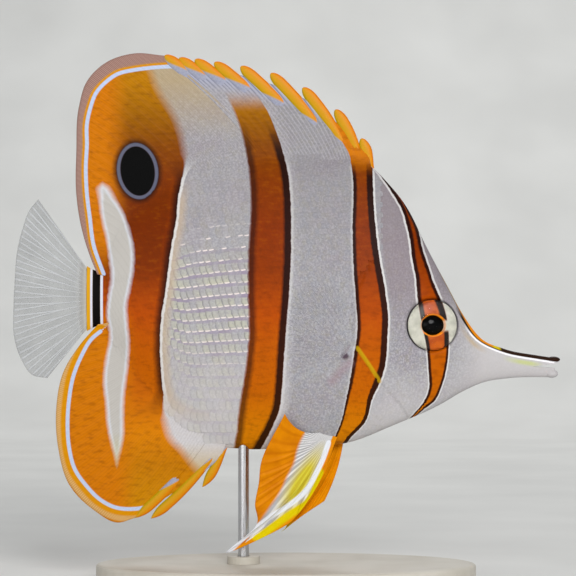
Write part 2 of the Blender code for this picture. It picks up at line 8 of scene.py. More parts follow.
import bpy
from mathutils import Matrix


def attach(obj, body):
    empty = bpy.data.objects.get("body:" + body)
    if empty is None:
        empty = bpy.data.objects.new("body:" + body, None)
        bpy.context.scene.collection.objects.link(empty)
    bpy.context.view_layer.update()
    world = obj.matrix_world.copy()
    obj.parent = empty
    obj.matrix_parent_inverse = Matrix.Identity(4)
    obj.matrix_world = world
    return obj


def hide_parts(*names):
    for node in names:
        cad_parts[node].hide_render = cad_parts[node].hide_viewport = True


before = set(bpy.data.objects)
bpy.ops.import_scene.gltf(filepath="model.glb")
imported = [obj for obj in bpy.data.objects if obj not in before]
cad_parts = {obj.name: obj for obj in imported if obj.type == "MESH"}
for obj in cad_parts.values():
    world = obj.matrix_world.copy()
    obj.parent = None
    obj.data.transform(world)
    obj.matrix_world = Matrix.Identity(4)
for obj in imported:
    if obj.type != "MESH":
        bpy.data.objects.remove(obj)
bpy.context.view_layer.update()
print("nodes in the frame:", len(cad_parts))

# %% Tools
import math

import bmesh
import bpy
import numpy as np
from mathutils import Matrix, Vector

# %% [markdown]
# ## Where things are
# All shapes are worked out in millimetres in the fish's own frame: x runs forward to the snout,
# y to its left side and z up, with the middle of the flank at x = z = 0. A finished piece is then
# brought to metres and lifted to where the stand holds the fish.

# %% Units and grids
MM = 0.001
FISH_HEIGHT = 77.0
TO_WORLD = Matrix.Scale(MM, 4) @ Matrix.Translation((0, 0, FISH_HEIGHT))


def grid(columns, rows, two_faced=False):
    """A flat grid from 0 to 1 in x and y. If two-faced, a second sheet at z = 1 is joined to it."""
    bm = bmesh.new()
    bmesh.ops.create_grid(bm, x_segments=columns, y_segments=rows, size=0.5)
    bmesh.ops.translate(bm, verts=bm.verts[:], vec=(0.5, 0.5, 0))
    if two_faced:
        bmesh.ops.triangulate(bm, faces=bm.faces[:])
        pushed = bmesh.ops.extrude_face_region(bm, geom=bm.faces[:], use_keep_orig=True)
        second = [item for item in pushed["geom"] if isinstance(item, bmesh.types.BMVert)]
        bmesh.ops.translate(bm, verts=second, vec=(0, 0, 1))
    return bm


def close_up(bm, apart):
    """Joins vertices less than a distance apart, fills what is open and turns faces outwards."""
    bmesh.ops.remove_doubles(bm, verts=bm.verts[:], dist=apart)
    bmesh.ops.holes_fill(bm, edges=[edge for edge in bm.edges if edge.is_boundary], sides=0)
    bmesh.ops.recalc_face_normals(bm, faces=bm.faces[:])


def reshape(bm, place):
    """Moves each vertex to where place() sends it. It takes arrays of x, y and z and gives places."""
    was = np.array([vert.co for vert in bm.verts])
    for vert, co in zip(bm.verts, place(*was.T)):
        vert.co = co


def smooth(knots, values, at):
    """Values at the given places of a smooth curve through values at rising knots."""
    knots = np.asarray(knots, float)
    values = np.asarray(values, float)
    slopes = np.gradient(values, knots, axis=0)
    at = np.clip(np.atleast_1d(np.asarray(at, float)), knots[0], knots[-1])
    i = np.clip(np.searchsorted(knots, at, side="right") - 1, 0, len(knots) - 2)
    span = knots[i + 1] - knots[i]
    q = (at - knots[i]) / span
    if values.ndim > 1:
        span, q = span[:, None], q[:, None]
    return (
        values[i] * (1 + 2 * q) * (1 - q) ** 2
        + values[i + 1] * q * q * (3 - 2 * q)
        + span * (slopes[i] * q * (1 - q) ** 2 - slopes[i + 1] * q * q * (1 - q))
    )


def level(outline, x):
    """The height at each x of an outline given as rising (x, z) places."""
    places = np.array(outline)
    return smooth(places[:, 0], places[:, 1], x)


def step(low, high, value):
    """Rises smoothly from 0 at low to 1 at high, or falls if high is the smaller."""
    q = np.clip((value - low) / (high - low), 0, 1)
    return q * q * (3 - 2 * q)


# %% [markdown]
# ## The body's form
# A butterflyfish is a tall, thin disc drawn out in front to a tube snout. Its side view is two
# outlines, back and belly. Seen from the front, each section is a lens: widest low behind the eye,
# and closing to an edge where the long fins stand. These are the values that the solids are built
# from, so the skin fits them everywhere.

# %% Body outlines
BODY_TAIL = -54.5
BODY_SNOUT = 73.4
EDGE_CROWDING = 0.22
BACK = [
    (-54.5, 9.5), (-51.5, 8.4), (-47.4, 14.5), (-42.7, 21.9), (-35.9, 29.3), (-20.8, 37.5),
    (-4.4, 40.2), (10.7, 40.5), (21.5, 38.3), (27.1, 33.1), (33.9, 24.2), (38.3, 15.1),
    (43.8, 4.7), (48.4, -3.7), (53.0, -9.9), (59.4, -13.0), (68.7, -14.9), (73.4, -15.6),
]
BELLY = [
    (-54.5, -8.7), (-51.5, -7.4), (-45.4, -12.9), (-40.5, -19.7), (-29.6, -32.8), (-20.5, -39.6),
    (-12.6, -40.9), (3.8, -40.3), (16.7, -39.3), (30.1, -34.2), (42.4, -28.7), (48.4, -25.2),
    (53.9, -22.8), (61.0, -21.6), (73.4, -21.3),
]
HALF_WIDTH = [
    (-54.5, 1.5), (-49.0, 2.3), (-42.0, 3.4), (-30.0, 5.6), (-15.0, 8.0), (0.0, 9.4), (12.0, 9.8),
    (25.0, 9.2), (35.0, 7.8), (40.0, 6.9), (47.0, 4.6), (53.0, 3.0), (60.0, 2.2), (73.4, 1.6),
]
WIDEST_LEVEL = [(-54.5, 0.4), (-30.0, 0.0), (0.0, -3.0), (20.0, -8.0), (40.0, -9.0), (50.0, -14.5),
                (60.0, -17.3), (73.4, -18.4)]
FLATNESS_ABOVE = [(-54.5, 1.0), (-47.0, 1.3), (-30.0, 1.7), (0.0, 1.7), (20.0, 1.5), (31.0, 1.15),
                  (45.0, 0.95), (73.4, 1.0)]
FLATNESS_BELOW = [(-54.5, 1.0), (-47.0, 1.3), (-30.0, 1.7), (-14.0, 1.4), (4.0, 1.1), (25.0, 1.0),
                  (45.0, 0.95), (73.4, 1.0)]
SKIN_SINK = 0.22
FIN_EDGE_HALF = 0.14
FIN_ROOT_HALF = 0.62
FIN_FALL = 9.0
FILLET = 0.9
FILLET_FALL = 2.0


def section(x, above):
    """At each x: the widest level, the half width, the reach up or down from it, and flatness."""
    widest = level(WIDEST_LEVEL, x)
    reach = np.where(above, level(BACK, x) - widest, widest - level(BELLY, x)) - SKIN_SINK
    flatness = np.where(above, level(FLATNESS_ABOVE, x), level(FLATNESS_BELOW, x))
    return widest, level(HALF_WIDTH, x) - SKIN_SINK, reach, flatness


def flank(x, z):
    """How far the skin stands from the middle plane at places of the side view."""
    widest, half_width, reach, flatness = section(x, z > level(WIDEST_LEVEL, x))
    share = np.clip(np.abs(z - widest) / reach, 0, 1)
    return half_width * np.sqrt(1 - share ** 2) ** flatness


def outer(x, z):
    """The whole fish's half width: flank, and tall fins that thin outwards from a rounded fillet."""
    beyond = np.maximum(np.maximum(z - level(BACK, x), level(BELLY, x) - z), 0)
    fin = FIN_EDGE_HALF + (FIN_ROOT_HALF - FIN_EDGE_HALF) * np.exp(-beyond / FIN_FALL)
    body = flank(x, z)
    return 0.5 * (body + fin + np.hypot(body - fin, FILLET * np.exp(-beyond / FILLET_FALL)))


print("skin's half width at mid flank, mm:", round(float(flank(np.array([0.0]), np.array([0.0]))[0]), 2))

# %% [markdown]
# ## Lines that the markings follow
# The bands, the pale stripe and the blue fin line are drawn as lines on the side view, and every
# surface is then told how many millimetres it is from each line. A shader that reads distances
# keeps an edge sharp at any zoom, and the same lines serve the skin, the scales and the fins, so a
# band crosses from one to the next without a break.

# %% Outlines of the markings
EYE_BAND_REAR = [
    (21.9, 41.1), (23.5, 37.5), (27.4, 31.8), (29.5, 28.5), (31.4, 25.2), (32.8, 20.5),
    (33.7, 16.4), (34.3, 10.9), (35.3, 5.6), (35.6, 1.1), (36.7, -6), (38.2, -13.4), (38.7, -19.4),
    (38.9, -23.8), (37.8, -27.1), (35, -30.9), (33.4, -32.8),
]
EYE_BAND_FRONT = [
    (24.6, 41.1), (27.4, 37.5), (30.1, 32.3), (32.4, 27.9), (34.1, 24.1), (35.6, 21.1),
    (36.5, 17.5), (37.2, 13.8), (38.4, 10.1), (40.7, 3.3), (42.3, -0.3), (43.8, -6), (44.2, -12.6),
    (43.7, -18.1), (42.5, -23), (40.5, -27.5), (37.2, -30.1), (33.9, -33.7),
]
BAND_2_REAR = [
    (8.6, 55.5), (12.4, 48.6), (15.4, 43.2), (17.3, 39.8), (18.0, 36.0), (18.1, 17.5), (18.3, 9.6),
    (18.9, 0), (19.3, -8.2), (18.7, -12.9), (18, -17.8), (16.4, -26.8), (15.1, -32.8),
    (13.1, -37.8), (11.5, -41.1),
]
BAND_2_FRONT = [
    (22.6, 50.0), (23.6, 43.8), (23.7, 37.5), (23.7, 32.3), (24.6, 17.5), (25.4, 10.9), (26.8, 2.7),
    (27.6, -4.1), (27.4, -10.9), (26.8, -17.8), (25.7, -21.6), (23.4, -26.8), (21.8, -32.8),
    (17.5, -37.8), (15.3, -41.1),
]
BAND_3_REAR = [
    (-17, 58.8), (-13.7, 52), (-11.8, 46.8), (-10.3, 40.5), (-9.4, 35.3), (-8.8, 24.9),
    (-9.4, 14.2), (-9.5, 0.5), (-9.3, -9.9), (-10, -17), (-11.1, -24.1), (-12.2, -30.9),
    (-13.1, -38.3), (-14, -41.6),
]
BAND_3_FRONT = [
    (-9.9, 58.8), (-4.9, 51.5), (-2.5, 45.7), (-0.8, 40.5), (0.5, 35.6), (1.3, 28.5), (1.5, 19.7),
    (1.3, 8.2), (0.8, 0), (0, -9.9), (-0.5, -17), (-1, -24.1), (-1.6, -29.3), (-3.4, -34.1),
    (-5.5, -38.3), (-7.4, -41.6),
]
REAR_BAND_FRONT = [
    (-37.2, 63), (-35, 57.5), (-32.3, 53.1), (-30.4, 49.8), (-28.2, 43), (-27.6, 38.9),
    (-28.2, 33.7), (-29.3, 28.3), (-29.9, 21.4), (-31.2, 14.2), (-32, 7.4), (-32.7, 2.2),
    (-33.8, -4.7), (-34.2, -14), (-33.9, -20), (-33.4, -26), (-33.4, -31.2), (-32.8, -34.5),
    (-31.8, -37.5), (-28.5, -41.1), (-25.2, -45.4), (-21.9, -49.3),
]
STRIPE_FRONT = [
    (-49.7, 34.5), (-48.8, 30.9), (-47.4, 28.2), (-44.9, 24.1), (-43, 19.4), (-41.8, 14.5), (-41.6, 9.9),
    (-42.4, 4.1), (-43.5, -1.6), (-43.3, -6), (-42.9, -12.3), (-43.7, -20), (-44.5, -26),
    (-44.7, -32), (-44.5, -38), (-46, -46.5),
]
STRIPE_REAR = [
    (-50.9, 34.5), (-51.2, 30.9), (-51.0, 29), (-50.4, 23.3), (-49.1, 17.5), (-48.1, 11.8), (-47.4, 6.8),
    (-48.3, 0.3), (-48.7, -3.6), (-47.9, -9.3), (-49.1, -16.1), (-49.7, -22.2), (-49.1, -28.2),
    (-48.7, -34.2), (-47.9, -40.2), (-46.5, -46.5),
]
DORSAL_LINE = [
    (-11.5, 53.6), (-16.7, 57.5), (-22.4, 61.2), (-26.3, 62.5), (-30.1, 63.8), (-34.5, 63.8),
    (-37.8, 63.5), (-41.6, 63), (-46.3, 61.8), (-49.3, 59.7), (-52, 56.7), (-53.5, 52.8),
    (-54.5, 48.2), (-54.5, 42.4), (-54.8, 36.7), (-54.5, 29), (-53.8, 23.3), (-52.3, 13.7),
    (-51.3, 10.9), (-49.8, 7.1),
]
ANAL_LINE = [
    (-50.7, -8.5), (-53, -10.4), (-56, -15.3), (-58.2, -20.8), (-59.4, -27.4), (-59.8, -34.2),
    (-59.4, -40.2), (-57.8, -46.3), (-54.6, -50.9), (-50.9, -54.6), (-46.9, -56.7), (-42.2, -57.2),
    (-38.9, -56.8), (-36.5, -56), (-32.4, -53.9), (-28.2, -50.9), (-24.4, -47.6), (-20.3, -43.8),
]
SPOT_AT = (-40.6, 35.3)
SPOT_RADII = (4.65, 6.75)
SPOT_TILT = math.radians(8)
FOREHEAD = [(38.3, 15.1), (43.8, 4.7), (48.4, -3.7), (53.0, -9.9), (59.4, -13.0), (68.7, -14.9),
            (74.0, -15.7)]
GILL_MARK = [(19.3, -12.9), (22.3, -17.2), (25.4, -22.0)]
GILL_EDGE = [(23.5, 10.4), (20.3, 5.0), (18.6, -3.0), (18.3, -9.6), (20.2, -14.8), (25.2, -21.9),
             (31.2, -29.0), (36.5, -37.0)]
AXIL_AT = (16.0, -15.1)
FLUSH = [(17.2, -17.0), (14.8, -19.5), (12.4, -22.0)]
EYE_AT = (39.7, 6.0, -6.8)
EYE_RADIUS = 7.0
BAND_SPAN = 10.0
STEM_FRONT = -48
STEM_HALF = 13


# %% Distances from the lines
def curve(line, pieces=5):
    """A smooth line through the given places, as short straight pieces."""
    places = np.array(line, float)
    run = np.concatenate([[0], np.cumsum(np.linalg.norm(np.diff(places, axis=0), axis=1))])
    return smooth(run, places, np.linspace(0, run[-1], pieces * (len(line) - 1) + 1))


def beside(line, x, z):
    """Distance of each place from a line that runs down, positive on the tail's side."""
    points = curve(line)
    best = np.full(len(x), np.inf)
    side = np.ones(len(x))
    for (ax, az), (bx, bz) in zip(points[:-1], points[1:]):
        run_x, run_z = bx - ax, bz - az
        share = np.clip(((x - ax) * run_x + (z - az) * run_z) / (run_x ** 2 + run_z ** 2), 0, 1)
        away = np.hypot(x - ax - share * run_x, z - az - share * run_z)
        nearer = away < best
        best = np.where(nearer, away, best)
        turn = run_x * (z - az) - run_z * (x - ax)
        side = np.where(nearer, np.where(turn > 0, -1.0, 1.0), side)
    return best * side


def across_band(rear, front, x, z, spread=1.0):
    """Millimetres into a band from its rear edge or, in its front half, BAND_SPAN less from its front.

    A spread under 1 draws the edges wider.
    """
    from_rear = -beside(rear, x, z) * spread
    from_front = beside(front, x, z) * spread
    return np.where(from_rear < from_front, from_rear, BAND_SPAN - from_front)


def spot_edge(x, z):
    """Distance outside the false eye's black oval, measured from its middle."""
    u, w = x - SPOT_AT[0], z - SPOT_AT[1]
    turned_u = u * math.cos(SPOT_TILT) + w * math.sin(SPOT_TILT)
    turned_w = w * math.cos(SPOT_TILT) - u * math.sin(SPOT_TILT)
    share = np.hypot(turned_u / SPOT_RADII[0], turned_w / SPOT_RADII[1])
    return np.hypot(u, w) * (1 - 1 / np.maximum(share, 0.05))


def markings(x, z, on_fin=False):
    """Each marking's distances, in millimetres, at places of the side view."""
    far = np.full(len(x), -BAND_SPAN)
    crisp = np.where(x > 8, step(39, 33, z), step(51, 40, z))
    crisp = np.where(x < -20, step(40, 31, z) * step(-33, -22, z), crisp)
    rear = beside(REAR_BAND_FRONT, x, z) * (0.07 + 0.93 * crisp)
    stripe = np.minimum(beside(STRIPE_FRONT, x, z), -beside(STRIPE_REAR, x, z))
    stripe = stripe * (1 - 0.5 * step(25, 32, z)) - 2.0 * step(30, 35, z) - 0.7 * step(-32, -45, z)
    line = np.where(z > 0, beside(DORSAL_LINE, x, z), beside(ANAL_LINE, x, z))
    line = np.where((z > 0) & (x > DORSAL_LINE[0][0] - 1.5), far, line)
    gill = np.abs(beside(GILL_MARK, x, z))
    eye = np.hypot(x - EYE_AT[0], z - EYE_AT[2]) - EYE_RADIUS
    return {
        "eye_band": across_band(EYE_BAND_REAR, EYE_BAND_FRONT, x, z, 0.85 + 0.35 * step(-4, -10, z)),
        "band_2": across_band(BAND_2_REAR, BAND_2_FRONT, x, z, 1 + 0.8 * step(-20, -34, z)),
        "band_3": across_band(BAND_3_REAR, BAND_3_FRONT, x, z),
        "rear_band": rear,
        "crisp": crisp,
        "stripe": stripe,
        "spot": spot_edge(x, z),
        "fin_line": line if on_fin else far,
        "stem": far if on_fin else np.where((x < STEM_FRONT) & (abs(z) < STEM_HALF), -x, -BAND_SPAN),
        "forehead": np.where(x > 20, beside(FOREHEAD, x, z), BAND_SPAN),
        "reach": x,
        "gill_mark": gill,
        "glow": np.maximum(step(-42, -50, x) * step(4, 18, z), step(-40, -47, x) * step(0, -10, z))
        + step(8, 12, x) * step(34, 41, z),
        "axil": np.hypot((x - AXIL_AT[0]) * 0.85, z - AXIL_AT[1]),
        "flush": np.abs(beside(FLUSH, x, z)),
        "top_fade": step(57.5, 51.5, z),
        "eye_edge": eye,
        "lined": step(41, 35, z),
    }


# %% [markdown]
# ## Making a piece
# Each shape starts as a bmesh in the fish's millimetres.

# %% Piece helper
def store(mesh, values):
    """Writes each named list of numbers to the mesh, one number a vertex."""
    for name, numbers in values.items():
        attribute = mesh.attributes.new(name, "FLOAT", "POINT")
        attribute.data.foreach_set("value", np.ascontiguousarray(numbers, np.float32))


def coordinates(mesh):
    flat = np.empty(len(mesh.vertices) * 3, np.float32)
    mesh.vertices.foreach_get("co", flat)
    return flat.reshape(-1, 3).astype(float)


def finish_piece(obj, material, replaced=(), sharp=None):
    """Gives a piece its material, smooth shading and body, and hides the nodes that it stands for."""
    obj.data.materials.clear()
    obj.data.materials.append(material)
    obj.data.shade_smooth()
    if sharp:
        obj.data.set_sharp_from_angle(angle=math.radians(sharp))
    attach(obj, "root")
    if replaced:
        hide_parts(*replaced)
    print(f"{obj.name}: {sum(len(p.vertices) - 2 for p in obj.data.polygons)} triangles")
    return obj


def add_object(name, data):
    """An object for a mesh, a camera or a light, in the scene."""
    obj = bpy.data.objects.new(name, data)
    bpy.context.scene.collection.objects.link(obj)
    return obj


def object_from(name, bm):
    """An object that holds a bmesh, still in the fish's millimetres."""
    mesh = bpy.data.meshes.new(name)
    bm.to_mesh(mesh)
    bm.free()
    return add_object(name, mesh)


def to_world(obj, on_fin=False, marked=True):
    """Notes the markings at each vertex, then brings the mesh to metres over the stand."""
    if marked:
        x, _, z = coordinates(obj.data).T
        store(obj.data, markings(x, z, on_fin))
    obj.data.transform(TO_WORLD)
    return obj


# %% [markdown]
# ## Materials: how they are built
# Colours are sRGB hex values read off and turned to linear. One small function adds a node
# with its settings and links. Paint goes on in coats, each laid where some number of millimetres is
# passed. A ramp's colour can also hold three masks at once: red for copper, green for the dark edge
# and blue for the white line beside it, so that one ramp draws a whole band.

# %% Node helper
MIX_FACTOR, MIX_UNDER, MIX_OVER, MIX_RESULT = 0, 6, 7, 2


def rgb(shade):
    """A linear colour from an sRGB hex value. Anything else, such as an output, comes back as it is."""
    if not isinstance(shade, str):
        return shade
    parts = [int(shade[i:i + 2], 16) / 255 for i in (1, 3, 5)]
    return (*[p / 12.92 if p <= 0.04045 else ((p + 0.055) / 1.055) ** 2.4 for p in parts], 1)


def node(tree, kind, inputs=(), out=0, stops=None, **settings):
    """Adds a node with its settings and links, and gives one of its outputs.

    Inputs are a list in the node's own order or a dict. Each is a number, a colour or an output.
    """
    made = tree.nodes.new("ShaderNode" + kind)
    for name, value in settings.items():
        setattr(made, name, value)
    for key, value in inputs.items() if isinstance(inputs, dict) else enumerate(inputs):
        if isinstance(value, bpy.types.NodeSocket):
            tree.links.new(value, made.inputs[key])
        else:
            made.inputs[key].default_value = value
    if stops:
        elements = made.color_ramp.elements
        while len(elements) < len(stops):
            elements.new(1.0)
        for element, (position, colour) in zip(elements, stops):
            element.position = position
            element.color = colour
    return made.outputs[out]


# %% Coats of paint
def coat(tree, under, over, value, low, high, most=1.0):
    """Lays a colour over another, from none where a value is low to the most where it is high."""
    mask = node(tree, "MapRange", [value, low, high, 0.0, most])
    return node(tree, "Mix", {MIX_FACTOR: mask, MIX_UNDER: rgb(under), MIX_OVER: rgb(over)}, MIX_RESULT,
                data_type="RGBA")


def coats(tree, colour, *layers):
    """Lays coats over a colour in turn, each a colour, a value, its low and high, and its most."""
    for layer in layers:
        colour = coat(tree, colour, *layer)
    return colour


def profile(tree, value, stops):
    """The colour that a ramp gives a value, its stops told in the value's own unit."""
    low, high = stops[0][0] - 0.1, stops[-1][0] + 0.1
    share = node(tree, "MapRange", [value, low, high])
    stops = [((at - low) / (high - low), rgb(shade)) for at, shade in stops]
    return node(tree, "ValToRGB", [share], stops=stops)


def within(tree, value, *edges):
    """Full between the middle two of four rising values, and bare outside the outer two."""
    return profile(tree, value, list(zip(edges, (BARE, FULL, FULL, BARE))))


def lumps(tree, told, size_mm, stretch=(1, 1, 1), detail=2.0):
    """Smooth noise with lumps of about a size. Object coordinates are in metres."""
    spread = node(tree, "VectorMath", [told["place"], stretch], operation="MULTIPLY")
    return node(tree, "TexNoise", {"Vector": spread, "Scale": 1 / (size_mm * MM), "Detail": detail})


def new_material(name, *numbers):
    """A material, its tree, and what it is told: Object coordinates, height and the mesh's numbers."""
    material = bpy.data.materials.new(name)
    material.use_nodes = True
    tree = material.node_tree
    told = {number: node(tree, "Attribute", out="Fac", attribute_name=number) for number in numbers}
    told["place"] = node(tree, "TexCoord", out="Object")
    up = node(tree, "SeparateXYZ", [told["place"]], "Z")
    told["height"] = node(tree, "Math", [up, 1 / MM, -FISH_HEIGHT], operation="MULTIPLY_ADD")
    return material, tree, told


def dress(material, **inputs):
    """Sets the shader's inputs by name, each to a number or an output, and hands the material back."""
    shader = material.node_tree.nodes["Principled BSDF"]
    for name, value in inputs.items():
        socket = shader.inputs[name.replace("_", " ")]
        if isinstance(value, bpy.types.NodeSocket):
            material.node_tree.links.new(value, socket)
        else:
            socket.default_value = value
    return material


def surface(material, told, colour, roughness, gloss, grain_mm=0.35, grain_high=0.00004):
    """Gives a material its colour, roughness and gloss, and a fine grain."""
    tree = material.node_tree
    grain = lumps(tree, told, grain_mm, detail=3.0)
    bump = node(tree, "Bump", {"Height": grain, "Strength": 1.0, "Distance": grain_high})
    return dress(material, Base_Color=colour, Roughness=roughness, Specular_IOR_Level=gloss, Normal=bump)


# %% [markdown]
# ## The markings as pigment
# Living skin holds its pigment in layers: silver crystals below, copper and dark cells over them.
# The paint here is layered the same way. Edges wander a little, as a row of scales does, and copper
# turns from brown copper high on the flank to golden yellow at the belly and on the fins. Wet skin
# barely shines under water, so the gloss is kept low and the copper stays deep.

# %% Pigment values
COPPER, EDGE, SOFT_EDGE = (1, 0, 0, 1), (1, 1, 0, 1), (1, 0.75, 0, 1)
LINE, SOFT_LINE, BARE, FULL = (0, 0, 1, 1), (0, 0, 0.5, 1), (0, 0, 0, 1), (1, 1, 1, 1)
DARK_EDGE = "#170807"
WHITE_LINE = "#D8D6D4"
COPPER_BY_HEIGHT = [(-60, "#C48400"), (-45, "#BA7200"), (-36, "#D07A00"), (-25, "#BC5E00"),
                    (-14, "#B85600"), (-4, "#B04800"), (8, "#8A3400"), (20, "#822F00"),
                    (33, "#7E3400"), (42, "#7E4000"), (50, "#945A00"), (60, "#B27400")]
EYE_BAND_PROFILE = [(-0.5, BARE), (-0.4, LINE), (-0.05, LINE), (0.05, EDGE), (0.7, EDGE),
                    (1.1, COPPER), (9.0, COPPER), (9.4, EDGE), (9.95, EDGE), (10.05, LINE),
                    (10.4, LINE), (10.5, BARE)]
BAND_2_PROFILE = [(-0.7, BARE), (-0.3, SOFT_LINE), (-0.05, SOFT_LINE), (0.05, EDGE), (0.7, EDGE),
                  (1.2, COPPER), (8.1, COPPER), (8.5, EDGE), (9.95, EDGE), (10.05, LINE),
                  (10.45, LINE), (10.6, BARE)]
BAND_3_PROFILE = [(-0.9, BARE), (-0.2, SOFT_EDGE), (0.6, SOFT_EDGE), (1.8, COPPER), (7.6, COPPER),
                  (8.4, EDGE), (9.85, EDGE), (10.05, SOFT_LINE), (10.4, SOFT_LINE), (10.9, BARE)]
REAR_BAND_PROFILE = [(-0.8, BARE), (-0.6, LINE), (-0.1, LINE), (0.1, EDGE), (0.9, SOFT_EDGE),
                     (2.2, COPPER)]
PROFILES = {"eye_band": EYE_BAND_PROFILE, "band_2": BAND_2_PROFILE, "band_3": BAND_3_PROFILE,
            "rear_band": REAR_BAND_PROFILE}
MARKINGS = ("eye_band", "band_2", "band_3", "rear_band", "crisp", "lined", "stripe", "spot", "glow",
            "top_fade")


# %% Painting the markings
def band_masks(tree, told, wander):
    """Copper, dark edge and white line of all four bands, each a share from 0 to 1."""
    masks = BARE
    wander = node(tree, "Math", [wander, told["crisp"]], operation="MULTIPLY")
    for name, stops in PROFILES.items():
        at = node(tree, "Math", [told[name], wander], operation="ADD")
        found = profile(tree, at, stops)
        if name == "band_3":
            found = coat(tree, BARE, found, told["top_fade"], 0, 1)
        masks = node(tree, "Mix", {MIX_FACTOR: 1.0, MIX_UNDER: masks, MIX_OVER: found}, MIX_RESULT,
                     data_type="RGBA", blend_type="ADD")
    return [node(tree, "SeparateColor", [masks], part) for part in ("Red", "Green", "Blue")]


def paint_false_eye(tree, told, colour):
    """A black oval with a thin pale rim, fading to brown outside."""
    spot = told["spot"]
    rim = within(tree, spot, -0.05, 0.2, 0.8, 1.15)
    return coats(tree, colour, ("#160A06", spot, 2.6, 1.0, 0.9), ("#010101", spot, 0.15, -0.15),
                 ("#5C5E70", rim, 0, 1))


def paint_markings(tree, told, colour):
    """Lays the bands and the pale stripe over the flank's colour."""
    height = told["height"]
    wander = node(tree, "MapRange", [lumps(tree, told, 1.3), 0.2, 0.8, -0.11, 0.11])
    streaks = lumps(tree, told, 2.6, (1, 1, 2.6))
    deep = coat(tree, BARE, within(tree, height, 0, 12, 26, 38), told["rear_band"], 0.5, 3.0)
    copper = coats(tree, profile(tree, height, COPPER_BY_HEIGHT), ("#4E1C00", deep, 0, 1, 0.4),
                   ("#C67000", told["glow"], 0, 1), ("#5C2400", streaks, 0.5, 0.75, 0.35),
                   ("#D87E00", streaks, 0.45, 0.28, 0.08))
    masks = band_masks(tree, told, wander)
    colour = coat(tree, colour, copper, masks[0], 0, 1)
    lined = node(tree, "Math", [told["crisp"], told["lined"]], operation="MULTIPLY")
    for shade, mask, share, most in ((DARK_EDGE, masks[1], told["crisp"], 0.95),
                                     (WHITE_LINE, masks[2], lined, 0.8)):
        share = node(tree, "Math", [mask, share], operation="MULTIPLY")
        colour = coat(tree, colour, shade, share, 0, 1, most)
    stripe = node(tree, "Math", [told["stripe"], wander], operation="ADD")
    pale = coats(tree, "#CCCED4", ("#B8B4AE", stripe, 0.4, 1.0), ("#B8B068", height, -36, -47, 0.8))
    return coat(tree, colour, pale, stripe, -0.7, 0.5)


# %% Flank colours
def flank_colours(tree, told):
    """Silver skin: grey with cool and mauve clouds and fine specks, darker towards the top as painted
    shade, and paler at the belly as painted light from below.
    """
    height, specks = told["height"], lumps(tree, told, 0.5)
    ahead = node(tree, "MapRange", [told["band_3"], 10.5, 13.0])
    colour = coats(tree, "#A9A8AC", ("#A0979F", lumps(tree, told, 9.0, detail=3.0), 0.42, 0.7, 0.8),
                   ("#A8A28E", lumps(tree, told, 1.4), 0.5, 0.68, 0.45),
                   ("#CCCAD0", specks, 0.5, 0.68, 0.6), ("#85838E", specks, 0.5, 0.32, 0.5),
                   # Painted shade: #878284 darkens the grey towards the top.
                   ("#878284", height, -8, 24, 0.5), ("#5C585E", ahead, 0, 1, 0.23))
    # Painted light from below: a pale coat over the belly, smaller ahead of the third band.
    behind, later = [node(tree, "MapRange", [height, *edges]) for edges in ((-6, -32), (-16, -34))]
    pale = coats(tree, behind, (later, ahead, 0, 1), (BARE, told["band_2"], 10.4, 9.4, ahead))
    return coats(tree, colour, ("#D0CCCC", pale, 0, 1, 0.7), ("#B4942E", height, -39, -48, 0.85))


# %% [markdown]
# ## Skin
# The flesh is one skin from lips to tail root, rolled from a grid as the solids are and sunk under
# them by the depth of a scale. Silver fish skin is a sheet of guanine crystals under a wet clear
# layer: pale, with a soft sheen rather than a mirror's.

# %% Head markings
def head_colours(tree, told):
    """Flank colours that turn mauve on the upper head and pale on the snout."""
    mauve = node(tree, "MapRange", [told["band_2"], 10.4, 11.4, 0.0, 0.5])
    return coats(tree, flank_colours(tree, told), ("#84747A", told["height"], -14, 4, mauve),
                 ("#BEBABA", told["reach"], 43, 54, 0.85))


def paint_head(tree, told, colour):
    """A golden line down the forehead with dark and white lines under it, and the gill's mark."""
    inside, reach = told["forehead"], told["reach"]
    under = within(tree, inside, 1.8, 2.4, 2.9, 3.6)
    along = profile(tree, reach, [(47, BARE), (51, FULL), (55, BARE), (59, BARE), (64, FULL),
                                  (67, FULL), (70.5, BARE)])
    tinted = node(tree, "Math", [under, along], operation="MULTIPLY")
    tint = coat(tree, "#BC9C60", "#BCC838", reach, 54, 60)
    colour = coat(tree, colour, tint, tinted, 0, 1, 0.5)
    for high, shade, start in ((1.75, "#F0EEF2", 48.5), (1.25, "#2E1A0C", 46.0)):
        ahead = node(tree, "MapRange", [reach, start, start + 2])
        colour = coat(tree, colour, shade, inside, high, high - 0.15, ahead)
    golden = coats(tree, "#94701C", ("#E88A00", reach, 46, 50), ("#D0B810", reach, 56.2, 57),
                   ("#2C1A10", reach, 58.2, 59))
    wide = node(tree, "MapRange", [reach, 46, 52, 0.3, 0.9])
    near = node(tree, "Math", [wide, inside], operation="SUBTRACT")
    ahead = node(tree, "MapRange", [reach, 41, 43])
    behind = node(tree, "MapRange", [reach, 30, 24, 0.0, 0.9])
    return coats(tree, colour, (golden, near, -0.08, 0.08, ahead),
                 ("#C29A10", told["gill_mark"], 0.75, 0.3, behind))


def paint_stem(tree, told, colour):
    """The tail root's golden ring and black bar, with thin white lines between."""
    bar = profile(tree, told["stem"], [(49.9, BARE), (50.1, LINE), (50.6, LINE), (50.8, EDGE),
                                       (52.8, EDGE), (53.0, LINE), (53.4, LINE), (53.6, COPPER),
                                       (55.4, COPPER)])
    for shade, part in (("#D49A14", "Red"), ("#0A0504", "Green"), ("#D2D4E0", "Blue")):
        colour = coat(tree, colour, shade, node(tree, "SeparateColor", [bar], part), 0, 1)
    return colour


def paint_axil(tree, told, colour):
    """Behind the pectoral's root: a dark pit, with flushed skin below it."""
    return coats(tree, colour, ("#94747C", told["flush"], 1.8, 0.2, 0.4),
                 ("#40283A", told["axil"], 1.15, 0.6, 0.85))


